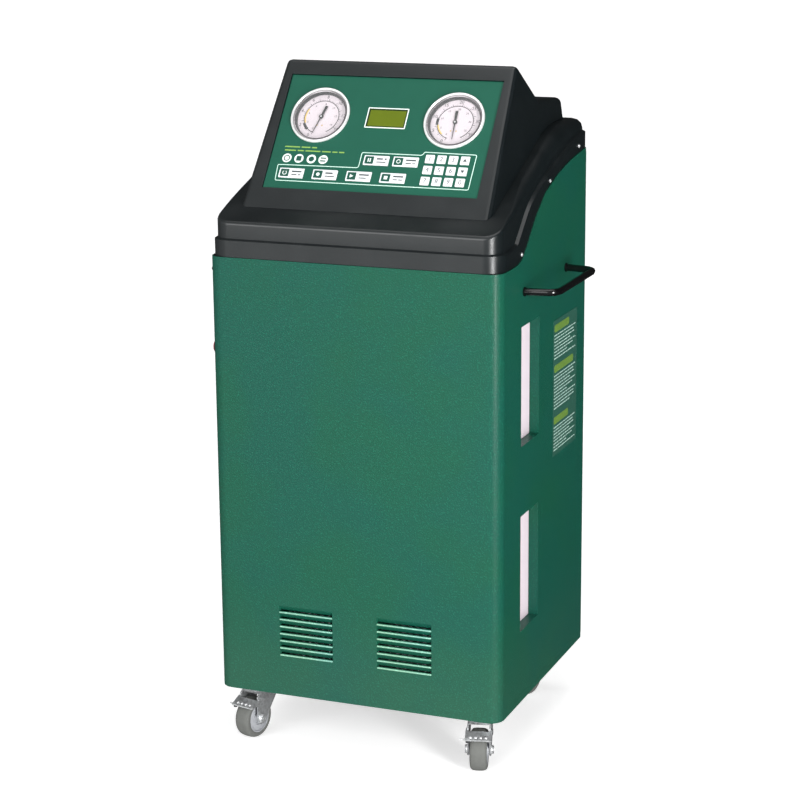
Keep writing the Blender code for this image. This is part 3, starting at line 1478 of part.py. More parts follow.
def make_vacuum_pump():
    """Motor and pump body in line on a foot, with a carrying handle"""
    floor = CABINET_BOTTOM + PAN_WALL + GAP
    x, y = PUMP_CENTRE
    height = floor + PUMP_RADIUS + 0.014
    half = PUMP_LENGTH / 2
    radius = PUMP_RADIUS
    profile = (
        (0.0, half), (radius * 0.8, half), (radius * 0.88, half - 0.004), (radius * 0.88, 0.012),
        (radius, 0.010), (radius, -half + 0.004), (radius - 0.004, -half), (0.0, -half),
    )
    pump = turned(
        "vacuum_pump", profile, "aluminium", 16, location=(x, y, height), rotation=(0, pi / 2, 0),
    )
    foot = box_mesh(
        "pump_foot", (PUMP_LENGTH * 0.8, radius * 1.5, height - floor - radius * 0.5),
        (x, y, (floor + height - radius * 0.5) / 2), round_edge=0.002,
    )
    join(pump, add_guide("pump_foot", foot))
    return pump


def make_condenser():
    """Finned block behind the louvres, with the fan motor's bracket at its back"""
    width, depth, height = CONDENSER_SIZE
    front = FRONT_Y + CONDENSER_SETBACK
    floor = CABINET_BOTTOM + PAN_WALL + GAP
    pitch = (width - FIN_THICKNESS) / (CONDENSER_FINS - 1)
    spine = depth * 0.45
    outline = [(-width / 2, depth), (-width / 2, 0.0)]
    for index in range(CONDENSER_FINS - 1):
        right = -width / 2 + FIN_THICKNESS + pitch * index
        left = right + pitch - FIN_THICKNESS
        outline += [(right, 0.0), (right, spine), (left, spine), (left, 0.0)]
    outline += [(width / 2, 0.0), (width / 2, depth)]
    block = prism_mesh("condenser", outline, height)
    block.transform(Matrix.Translation((0, front, floor)))
    condenser = add_object("condenser", block, "aluminium")
    back = front + depth
    centre_z = floor + height / 2
    motor_end = back + 0.046
    bracket_profile = (
        (0.0, 0.046), (FAN_SHAFT_RADIUS, 0.046), (FAN_SHAFT_RADIUS, 0.026), (0.018, 0.026),
        (0.020, 0.023), (0.020, -0.002), (0.0, -0.002),
    )
    motor = turned(
        "fan_motor", bracket_profile, None, 16, guide=True, location=(0, back, centre_z),
        rotation=(-pi / 2, 0, 0),
    )
    join(condenser, motor)
    return condenser, motor_end


def grow_blade(bm, wall, reach, twist, spread):
    """Next stretch of a blade: the end face moved out, turned and widened"""
    way = wall.normal.copy()
    wall = bmesh.ops.extrude_discrete_faces(bm, faces=[wall])["faces"][0]
    verts = list(wall.verts)
    bmesh.ops.translate(bm, verts=verts, vec=way * reach)
    middle = wall.calc_center_median()
    long_edge = max(wall.edges, key=lambda edge: edge.calc_length())
    long_way = (long_edge.verts[1].co - long_edge.verts[0].co).normalized()
    for vert in verts:
        vert.co += long_way * (vert.co - middle).dot(long_way) * (spread - 1)
    bmesh.ops.rotate(bm, verts=verts, cent=middle, matrix=Matrix.Rotation(twist, 3, way))
    return wall


def make_fan():
    """Hub with twisted blades drawn out of its side faces"""
    back = FRONT_Y + CONDENSER_SETBACK + CONDENSER_SIZE[1]
    centre_z = CABINET_BOTTOM + PAN_WALL + GAP + CONDENSER_SIZE[2] / 2
    bm = bmesh.new()
    sides = FAN_BLADES * 4
    bmesh.ops.create_cone(
        bm, cap_ends=True, segments=sides, radius1=FAN_HUB_RADIUS, radius2=FAN_HUB_RADIUS,
        depth=FAN_DEPTH,
    )
    walls = [face for face in bm.faces if abs(face.normal.z) < 0.5]
    walls.sort(key=lambda face: face.calc_center_median().xy.angle_signed(Vector((1, 0))))
    for wall in walls[::4]:
        for reach, twist, spread in ((0.020, 38, 2.2), (0.024, 12, 1.5)):
            wall = grow_blade(bm, wall, reach, radians(twist), spread)
    bmesh.ops.recalc_face_normals(bm, faces=bm.faces)
    fan = add_object(
        "condenser_fan", finish_mesh(bm, "condenser_fan"), "black_steel",
        location=(0, back + 0.036, centre_z), rotation=(-pi / 2, 0, 0),
    )
    bore = cylinder_mesh("fan_bore", FAN_SHAFT_RADIUS + BORE_GAP, 0.06, segments=16)
    cut(fan, add_guide("fan_bore", bore, None, fan.location, fan.rotation_euler))
    return fan


def make_drier():
    """Filter drier with coned ends, clipped to the left side"""
    y, z = DRIER_CENTRE
    half = DRIER_LENGTH / 2
    radius = DRIER_RADIUS
    clip = 0.006
    x = -INNER_HALF + GAP + clip + radius
    profile = (
        (0.0, half + 0.022), (0.005, half + 0.022), (0.005, half + 0.008), (radius, half - 0.010),
        (radius, -half + 0.010), (0.005, -half - 0.008), (0.005, -half - 0.022), (0.0, -half - 0.022),
    )
    drier = turned("filter_drier", profile, "copper", 12, location=(x, y, z))
    thickness = clip + radius * 0.5
    block = box_mesh(
        "drier_clip", (thickness, radius * 1.2, 0.030),
        (-INNER_HALF + GAP + thickness / 2, y, z), round_edge=0.001,
    )
    join(drier, add_guide("drier_clip", block))
    return drier


def make_bottle(name, sill):
    """Oil bottle whose flat face closes the back of a window recess"""
    front = WIDTH / 2 - WINDOW_DEPTH - GAP
    y = FRONT_Y + WINDOW_FRONT + WINDOW_WIDTH / 2
    z = sill + WINDOW_HEIGHT / 2
    rim = BOTTLE_RIM
    body = box_mesh(
        name, (BOTTLE_DEPTH, WINDOW_WIDTH + 2 * rim, WINDOW_HEIGHT + 2 * rim),
        (front - BOTTLE_DEPTH / 2, y, z), round_edge=0.003,
    )
    bottle = add_object(name, body, "white_bottle")
    neck = (
        (0.0, 0.020), (0.013, 0.020), (0.014, 0.018), (0.014, 0.004), (0.010, 0.003),
        (0.010, -0.003), (0.0, -0.003),
    )
    place = (front - BOTTLE_DEPTH / 2, y, z + WINDOW_HEIGHT / 2 + rim)
    join(bottle, turned(name + "_neck", neck, None, 16, guide=True, location=place))
    return bottle


def make_inlet():
    """Appliance inlet in the left side, with a flange outside"""
    width, height = INLET_SIZE
    y, z = INLET_CENTRE
    depth = 0.024
    left = -WIDTH / 2
    body = box_mesh("power_inlet", (depth, width, height), (left + depth / 2 - 0.001, y, z))
    inlet = add_object("power_inlet", body, "black_moulding")
    flange = box_mesh(
        "inlet_flange", (0.0020, width + 0.012, height + 0.012), (left - GAP - 0.0010, y, z),
        round_edge=0.0006,
    )
    join(inlet, add_guide("inlet_flange", flange))
    well = box_mesh("inlet_well", (0.030, width * 0.55, height * 0.62), (left, y, z))
    cut(inlet, add_guide("inlet_well", well))
    return inlet


def make_ports():
    """Manifold block inside the left side with two hose fittings through it"""
    block_depth = 0.026
    left = -WIDTH / 2
    inner = left + SHEET + GAP
    centre = (inner + block_depth / 2, PORT_CENTRE, PORT_HEIGHT)
    block = box_mesh(
        "service_ports", (block_depth, PORT_SPACING + 0.034, 0.034), centre, round_edge=0.0012,
    )
    ports = add_object("service_ports", block, "brass")
    reach = PORT_REACH
    thread = PORT_THREAD_RADIUS
    profile = (
        (0.0, reach), (thread - 0.001, reach), (thread, reach - 0.001), (thread, 0.008),
        (PORT_RADIUS, 0.007), (PORT_RADIUS, -0.010), (0.0, -0.010),
    )
    for side in (-1, 1):
        place = (left, PORT_CENTRE + side * PORT_SPACING / 2, PORT_HEIGHT)
        fitting = turned(
            f"port_fitting_{side}", profile, None, 12, guide=True, location=place,
            rotation=(0, -pi / 2, 0),
        )
        join(ports, fitting)
    return ports


def make_machine():
    panel_plane = add_empty("panel_plane", (0, PANEL_Y, PANEL_Z), (pi / 2 - PANEL_TILT, 0, 0))
    make_base_pan()
    make_cabinet()
    make_cover()
    make_console(panel_plane)
    make_panel(panel_plane)
    make_display(panel_plane)
    for name, u in gauge_places().items():
        make_gauge(name, u, panel_plane)
        make_needle(name, u, panel_plane)
    make_keys(panel_plane)
    make_handle("handle_left", -1)
    make_handle("handle_right", 1)
    make_stop_button()
    make_casters()
    make_door()
    make_lock()
    make_scale()
    make_tank()
    make_compressor()
    make_vacuum_pump()
    make_condenser()
    make_fan()
    make_drier()
    make_bottle("oil_bottle_lower", WINDOW_SILLS[0])
    make_bottle("oil_bottle_upper", WINDOW_SILLS[1])
    make_inlet()
    make_ports()


make_machine()
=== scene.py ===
"""Looks of a refrigerant recovery machine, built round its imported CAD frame.

Lengths are in metres. The front faces -Y, and the sight windows are in the +X side.
"""

import json
import logging
from collections.abc import Sequence
from dataclasses import dataclass
from enum import Enum
from math import cos, pi, radians, sin, tau

import bmesh
import bpy
from mathutils import Matrix, Vector

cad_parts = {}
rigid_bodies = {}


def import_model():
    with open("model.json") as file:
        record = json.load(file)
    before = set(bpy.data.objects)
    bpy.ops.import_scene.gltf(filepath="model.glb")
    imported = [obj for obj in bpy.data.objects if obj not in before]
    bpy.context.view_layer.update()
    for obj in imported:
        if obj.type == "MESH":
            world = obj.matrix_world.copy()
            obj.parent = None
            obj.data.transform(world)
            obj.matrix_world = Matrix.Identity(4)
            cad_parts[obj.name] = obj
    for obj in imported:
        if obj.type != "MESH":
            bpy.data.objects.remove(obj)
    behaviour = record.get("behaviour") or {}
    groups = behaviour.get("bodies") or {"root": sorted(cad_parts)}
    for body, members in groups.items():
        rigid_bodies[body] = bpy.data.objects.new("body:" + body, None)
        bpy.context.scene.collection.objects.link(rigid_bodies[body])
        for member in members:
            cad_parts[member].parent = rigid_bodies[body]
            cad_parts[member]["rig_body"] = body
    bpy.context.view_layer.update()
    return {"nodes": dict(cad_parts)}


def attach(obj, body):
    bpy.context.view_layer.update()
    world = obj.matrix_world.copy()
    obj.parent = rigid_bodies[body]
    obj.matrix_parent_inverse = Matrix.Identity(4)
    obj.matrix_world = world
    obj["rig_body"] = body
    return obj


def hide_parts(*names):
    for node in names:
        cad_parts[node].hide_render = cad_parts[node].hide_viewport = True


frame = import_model()

LOG = logging.getLogger("machine")
Colour = tuple[float, float, float]
ROOT = "cabinet"


class Signal:
    """A shader value on which Python arithmetic adds Math nodes."""

    def __init__(self, graph: "Graph", socket: bpy.types.NodeSocket) -> None:
        """Keeps the socket and the graph that it belongs to."""
        self.graph = graph
        self.socket = socket

    def _math(self, operation: str, *values: "Signal | float") -> "Signal":
        """Adds one Math node over the values."""
        made = self.graph.node("ShaderNodeMath", {"operation": operation}, dict(enumerate(values)))
        return Signal(self.graph, made.outputs[0])

    def __add__(self, other: "Signal | float") -> "Signal":
        """Sum."""
        return self._math("ADD", self, other)

    def __radd__(self, other: float) -> "Signal":
        """Sum with the number first."""
        return self._math("ADD", other, self)

    def __rsub__(self, other: float) -> "Signal":
        """Difference with the number first."""
        return self._math("SUBTRACT", other, self)

    def __mul__(self, other: "Signal | float") -> "Signal":
        """Product."""
        return self._math("MULTIPLY", self, other)

    def __rmul__(self, other: float) -> "Signal":
        """Product with the number first."""
        return self._math("MULTIPLY", other, self)

    def wave(self) -> "Signal":
        """Sine."""
        return self._math("SINE", self)


class Graph:
    """The nodes of one material."""

    def __init__(self, name: str) -> None:
        """Starts an empty material of that name."""
        self.material = bpy.data.materials.new(name)
        self.material.use_nodes = True
        self.tree = self.material.node_tree
        self.tree.nodes.clear()
        self._place: bpy.types.NodeSocket | None = None

    def node(
        self, kind: str, settings: dict | None = None, inputs: dict | None = None
    ) -> bpy.types.Node:
        """Adds a node.

        Args:
            kind: Blender's name of the node's type.
            settings: its own settings, set first.
            inputs: values or links of its sockets, by name or index.

        Returns:
            The new node.
        """
        made = self.tree.nodes.new(kind)
        for name, value in (settings or {}).items():
            setattr(made, name, value)
        for key, value in (inputs or {}).items():
            socket = made.inputs[key]
            if isinstance(value, Signal):
                self.tree.links.new(value.socket, socket)
            elif isinstance(value, bpy.types.NodeSocket):
                self.tree.links.new(value, socket)
            elif socket.type == "RGBA" and len(value) == 3:
                socket.default_value = (*value, 1.0)
            else:
                socket.default_value = value
        return made

    def place(self, stretch: Colour = (1, 1, 1)) -> bpy.types.NodeSocket:
        """Object coordinates, which may be stretched."""
        if self._place is None:
            self._place = self.node("ShaderNodeTexCoord").outputs["Object"]
        if stretch == (1, 1, 1):
            return self._place
        inputs = {"Vector": self._place, "Scale": stretch}
        return self.node("ShaderNodeMapping", None, inputs).outputs[0]

    def axis(self, index: int, vector: bpy.types.NodeSocket | None = None) -> Signal:
        """One coordinate of a vector, X, Y or Z by index."""
        source = vector or self.place()
        return Signal(self, self.node("ShaderNodeSeparateXYZ", None, {0: source}).outputs[index])

    def noise(
        self, size: float, detail: float = 2.0, stretch: Colour = (1, 1, 1), rough: float = 0.5
    ) -> Signal:
        """Cloudy pattern whose blobs are about that size."""
        inputs = {"Vector": self.place(stretch), "Scale": 1 / size, "Detail": detail}
        inputs["Roughness"] = rough
        return Signal(self, self.node("ShaderNodeTexNoise", None, inputs).outputs[0])

    def cells(self, size: float) -> Signal:
        """Random grey per cell, with cells of about that size."""
        inputs = {"Vector": self.place(), "Scale": 1 / size}
        made = self.node("ShaderNodeTexVoronoi", None, inputs)
        return self.axis(0, made.outputs["Color"])

    def spread(self, value: Signal, low: float, high: float) -> Signal:
        """Smooth step of a value from low to high."""
        settings = {"interpolation_type": "SMOOTHSTEP"}
        made = self.node("ShaderNodeMapRange", settings, {0: value, 1: low, 2: high})
        return Signal(self, made.outputs[0])

    def blend(self, share: Signal | float, first: object, second: object) -> bpy.types.NodeSocket:
        """Mix of two colours."""
        settings = {"data_type": "RGBA", "clamp_factor": True}
        return self.node("ShaderNodeMix", settings, {0: share, 6: first, 7: second}).outputs[2]

    def surface(
        self, colour: object, roughness: object, height: Signal | None = None,
        depth: float = 0.0002, **fixed: object,
    ) -> bpy.types.Material:
        """Ends the material in a principled shader.

        Args:
            colour: base colour, fixed or linked.
            roughness: roughness, fixed or linked.
            height: relief for the bump, from 0 to 1.
            depth: how deep the relief is.
            fixed: other sockets by name, with underscores for spaces.

        Returns:
            The finished material.
        """
        inputs = {"Base Color": colour, "Roughness": roughness}
        if height is not None:
            bump = {"Height": height, "Strength": 1.0, "Distance": depth}
            inputs["Normal"] = self.node("ShaderNodeBump", None, bump).outputs[0]
        inputs.update({name.replace("_", " "): value for name, value in fixed.items()})
        shader = self.node("ShaderNodeBsdfPrincipled", None, inputs)
        self.node("ShaderNodeOutputMaterial", None, {"Surface": shader.outputs[0]})
        return self.material


def shade(colour: Colour, factor: float) -> Colour:
    """A colour made darker or lighter."""
    return tuple(min(1.0, part * factor) for part in colour)


@dataclass(frozen=True)
class Finish:
    """What each finish has: a name, the record's slot and a base colour."""

    name: str
    slot: str
    colour: Colour

    def material(self) -> bpy.types.Material:
        """The finish's material, made once."""
        return bpy.data.materials.get(self.name) or self.paint(Graph(self.name))

    def paint(self, graph: Graph) -> bpy.types.Material:
        """Builds the material's nodes."""
        raise NotImplementedError


@dataclass(frozen=True)
class PowderCoat(Finish):
    """Textured powder coat on sheet steel, a little dusty near the floor."""

    pimple: float = 0.0024
    gloss: float = 0.34

    def paint(self, graph: Graph) -> bpy.types.Material:
        """Fine pimples, a cloudy tone that is partly random and partly a painted teal sheen, and a
        soft shine.
        """
        pimples = graph.noise(self.pimple, 3.0)
        cloud = graph.noise(0.16, 2.0)
        dust = 1 - graph.spread(graph.axis(2), 0.09, 0.30)
        red, green, blue = self.colour
        # The teal side of the cloudy tone is a painted sheen; the warm side is random tone
        # variation.
        teal_sheen = (red * 0.92, green * 0.98, blue * 1.09)
        warm = (red * 1.08, green * 1.02, blue * 0.94)
        tone = graph.blend(graph.spread(cloud, 0.35, 0.65), teal_sheen, warm)
        specks = graph.spread(pimples, 0.52, 0.68)
        tone = graph.blend(specks * 0.45, tone, shade(self.colour, 2.0))
        tone = graph.blend(dust * cloud * 0.05, tone, (0.25, 0.24, 0.21))
        rough = self.gloss + 0.10 * pimples + 0.10 * dust
        return graph.surface(
            tone, rough, pimples, 0.00065, Specular_IOR_Level=0.20,
            Coat_Weight=0.08, Coat_Roughness=0.20,
        )


@dataclass(frozen=True)
class Moulding(Finish):
    """Moulded plastic with a fine leathery grain."""

    grain: float = 0.0007
    gloss: float = 0.27
    relief: float = 0.00004
    shine: float = 0.60

    def paint(self, graph: Graph) -> bpy.types.Material:
        """Fine grain, with handling marks that change the shine."""
        grain = graph.noise(self.grain, 2.0, rough=0.6)
        marks = graph.noise(0.05, 4.0)
        tone = graph.blend(marks, shade(self.colour, 0.82), shade(self.colour, 1.2))
        rough = self.gloss + 0.05 * grain + 0.07 * graph.spread(marks, 0.42, 0.7)
        return graph.surface(tone, rough, grain, self.relief, Specular_IOR_Level=self.shine)


@dataclass(frozen=True)
class Film(Finish):
    """Printed plastic film or ink, almost flat."""

    gloss: float = 0.40

    def paint(self, graph: Graph) -> bpy.types.Material:
        """Faint orange peel and light wear."""
        peel = graph.noise(0.0016, 1.0)
        wear = graph.noise(0.03, 3.0)
        tone = graph.blend(wear, shade(self.colour, 0.93), shade(self.colour, 1.06))
        return graph.surface(
            tone, self.gloss + 0.10 * wear, peel, 0.00002, Specular_IOR_Level=0.25
        )


class Lay(Enum):
    """How a metal was finished."""

    POLISHED = "polished"
    BRUSHED = "brushed"
    SPANGLED = "spangled"
    CAST = "cast"


@dataclass(frozen=True)
class Metal(Finish):
    """Bare or plated metal."""

    lay: Lay = Lay.BRUSHED
    gloss: float = 0.28
    along: Colour = (1.0, 1.0, 0.04)
    metallic: float = 0.9

    def paint(self, graph: Graph) -> bpy.types.Material:
        """Tone, shine and relief for the metal's lay."""
        stain = graph.noise(0.012, 4.0)
        if self.lay is Lay.SPANGLED:
            grain, depth = graph.cells(0.0035), 0.00002
        elif self.lay is Lay.CAST:
            grain, depth = graph.noise(0.0012, 3.0), 0.00025
        elif self.lay is Lay.BRUSHED:
            grain, depth = graph.noise(0.0005, 2.0, self.along), 0.00002
        else:
            grain, depth = graph.noise(0.004, 2.0), 0.000004
        polished = self.lay is Lay.POLISHED
        strength = 0.25 if polished else 1.0
        dark = shade(self.colour, 1.0 if polished else 0.84)
        tone = graph.blend(grain * strength, dark, shade(self.colour, 1.12))
        stained = graph.spread(stain, 0.55, 0.85) * 0.35 * strength
        tone = graph.blend(stained, tone, shade(self.colour, 0.5))
        rough = self.gloss + (0.12 * grain + 0.10 * stain) * strength
        return graph.surface(tone, rough, grain, depth, Metallic=self.metallic)


@dataclass(frozen=True)
class Rubber(Finish):
    """Hard wheel rubber, dusty where it rolls."""

    def paint(self, graph: Graph) -> bpy.types.Material:
        """Matt tone with scuffs."""
        scuff = graph.noise(0.006, 5.0)
        fine = graph.noise(0.0008, 2.0)
        tone = graph.blend(scuff, shade(self.colour, 0.82), shade(self.colour, 1.18))
        return graph.surface(tone, 0.55 + 0.2 * scuff, fine, 0.00012)


@dataclass(frozen=True)
class MilkyPlastic(Finish):
    """Blown translucent bottle."""

    def paint(self, graph: Graph) -> bpy.types.Material:
        """Cloudy wall with faint flow lines, and a painted glow that stands in for light coming
        through the bottle.
        """
        flow = graph.noise(0.02, 3.0, (1, 1, 0.2))
        tone = graph.blend(flow, shade(self.colour, 0.95), self.colour)
        return graph.surface(
            tone, 0.30 + 0.1 * flow, graph.noise(0.01, 1.0), 0.0001,
            Subsurface_Weight=0.15, Subsurface_Radius=(0.01, 0.008, 0.008), Coat_Weight=0.2,
            # Painted glow: emission that stands in for light coming through the bottle.
            Emission_Color=tone, Emission_Strength=0.16,
        )


@dataclass(frozen=True)
class Glass(Finish):
    """Clear lens, mostly see-through."""

    def paint(self, graph: Graph) -> bpy.types.Material:
        """Thin clear pane with faint smears in its shine."""
        smear = graph.noise(0.02, 3.0)
        return graph.surface(self.colour, 0.03 + 0.05 * smear, Alpha=0.05)


@dataclass(frozen=True)
class TankPaint(Finish):
    """Two-tone cylinder paint: a coloured shoulder above a grey body."""

    shoulder: Colour = (0.70, 0.42, 0.03)
    border: float = 0.440

    def paint(self, graph: Graph) -> bpy.types.Material:
        """Grey below the border, coloured above, with scuffs."""
        scuff = graph.noise(0.02, 5.0)
        above = graph.spread(graph.axis(2), self.border - 0.001, self.border + 0.001)
        tone = graph.blend(above, self.colour, self.shoulder)
        tone = graph.blend(graph.spread(scuff, 0.58, 0.75) * 0.5, tone, (0.12, 0.12, 0.12))
        return graph.surface(tone, 0.35 + 0.2 * scuff, graph.noise(0.002, 2.0), 0.00008)


@dataclass(frozen=True)
class Wound(Finish):
    """Woven or finned surface with fine ribs along one axis."""

    pitch: float = 0.0018
    axis: int = 2

    def paint(self, graph: Graph) -> bpy.types.Material:
        """Painted shade in the gaps between the ribs, which also give the relief."""
        ribs = (graph.axis(self.axis) * (tau / self.pitch)).wave() * 0.5 + 0.5
        stain = graph.noise(0.02, 3.0)
        # The darkened troughs of the rib wave are painted shade between the fins.
        tone = graph.blend(ribs, shade(self.colour, 0.25), self.colour)
        return graph.surface(tone, 0.32 + 0.2 * stain, ribs, 0.0004, Metallic=1.0)


GREEN = PowderCoat("green_powder_coat", "green_paint", (0.0042, 0.071, 0.043))
# Lighter green for the louvre lips: a painted highlight.
LIP_PAINTED_HIGHLIGHT = PowderCoat("lip_green_painted_highlight", "green_paint", (0.19, 0.40, 0.30))
BLACK = Moulding("black_grained_moulding", "black_moulding", (0.0050, 0.0078, 0.0088))
BLACK_GLOSS = Moulding(
    "black_gloss_enamel", "black_tube", (0.003, 0.003, 0.0035), 0.003, 0.08, 0.00001
)
BLACK_STEEL = Moulding("black_baked_enamel", "black_steel", (0.012, 0.012, 0.013), 0.001, 0.38)
PANEL = Film("green_panel_film", "panel_green", (0.008, 0.090, 0.056), 0.36)
MINT = Film("mint_ink", "panel_green", (0.62, 0.86, 0.76), 0.45)
WHITE_INK = Film("white_ink", "panel_green", (0.84, 0.92, 0.88), 0.45)
LIME = Film("lime_ink", "panel_green", (0.24, 0.42, 0.09), 0.45)
DARK_INK = Film("dark_green_ink", "key_face", (0.012, 0.075, 0.052), 0.45)
GREY_INK = Film("grey_ink", "key_face", (0.060, 0.072, 0.075), 0.45)
BLACK_INK = Film("black_ink", "gauge_metal", (0.006, 0.006, 0.008), 0.45)
AMBER_INK = Film("amber_ink", "gauge_metal", (0.72, 0.50, 0.14), 0.45)
LABEL = Film("label_film", "green_paint", (0.021, 0.088, 0.062), 0.42)
RULES = Film("pale_rules", "green_paint", (0.36, 0.52, 0.46), 0.45)
OLIVE = Film("olive_ink", "green_paint", (0.11, 0.21, 0.035), 0.45)
DIAL = Film("dial_card", "gauge_metal", (0.66, 0.59, 0.63), 0.50)
KEY = Film("key_plastic", "key_face", (0.80, 0.82, 0.84), 0.34)
LCD = Film("display_film", "display_green", (0.105, 0.145, 0.003), 0.30)
# Dark ink for the display's border and for the painted shadow inside it.
LCD_BORDER_AND_SHADOW = Film("display_border_and_painted_shadow", "display_green", (0.012, 0.030, 0.004), 0.35)
CHROME = Metal("chromed_ring", "gauge_metal", (0.90, 0.91, 0.91), Lay.POLISHED, 0.20, metallic=0.40)
# Darker copy of the bright ring's metal, for painted shade on the bezel's inner slope.
SHADED_SLOPE = Metal("ring_slope_painted_shade", "gauge_metal", (0.30, 0.28, 0.29), Lay.POLISHED, 0.24, metallic=0.6)
ZINC = Metal("zinc_plate", "zinc", (0.76, 0.78, 0.79), Lay.SPANGLED, 0.24, metallic=0.84)
STEEL = Metal("bright_screw", "zinc", (0.80, 0.81, 0.82), Lay.BRUSHED, 0.22, metallic=0.6)
ALUMINIUM = Metal("cast_aluminium", "aluminium", (0.60, 0.61, 0.63), Lay.CAST, 0.38)
FINS = Wound("condenser_fins", "aluminium", (0.62, 0.64, 0.66))
BRASS = Metal("turned_brass", "brass", (0.70, 0.50, 0.20), Lay.BRUSHED, 0.25)
COPPER = Metal("drawn_copper", "copper", (0.72, 0.36, 0.22), Lay.BRUSHED, 0.28)
TREAD = Rubber("grey_rubber", "grey_tread", (0.112, 0.116, 0.108))
HUB = Moulding("pale_hub_plastic", "grey_tread", (0.34, 0.35, 0.37), 0.001, 0.38)
# Darker copy of the red face's moulding: painted shade on the button's rim and sides.
SHADED_RED = Moulding("red_button_rim_painted_shade", "stop_red", (0.070, 0.006, 0.012), 0.002, 0.28, 0.00002)
RED = Moulding("red_button_face", "stop_red", (0.62, 0.060, 0.100), 0.002, 0.30, 0.00002)
NEEDLE = Film("needle_lacquer", "needle_black", (0.004, 0.004, 0.005), 0.30)
GLASS = Glass("clear_pane", "clear_lens", (0.95, 0.97, 0.97))
# Milky bottle with a painted glow.
BOTTLE_WITH_GLOW = MilkyPlastic("milky_bottle_painted_glow", "white_bottle", (0.66, 0.57, 0.62))
TANK = TankPaint("cylinder_paint", "tank_paint", (0.36, 0.37, 0.38))


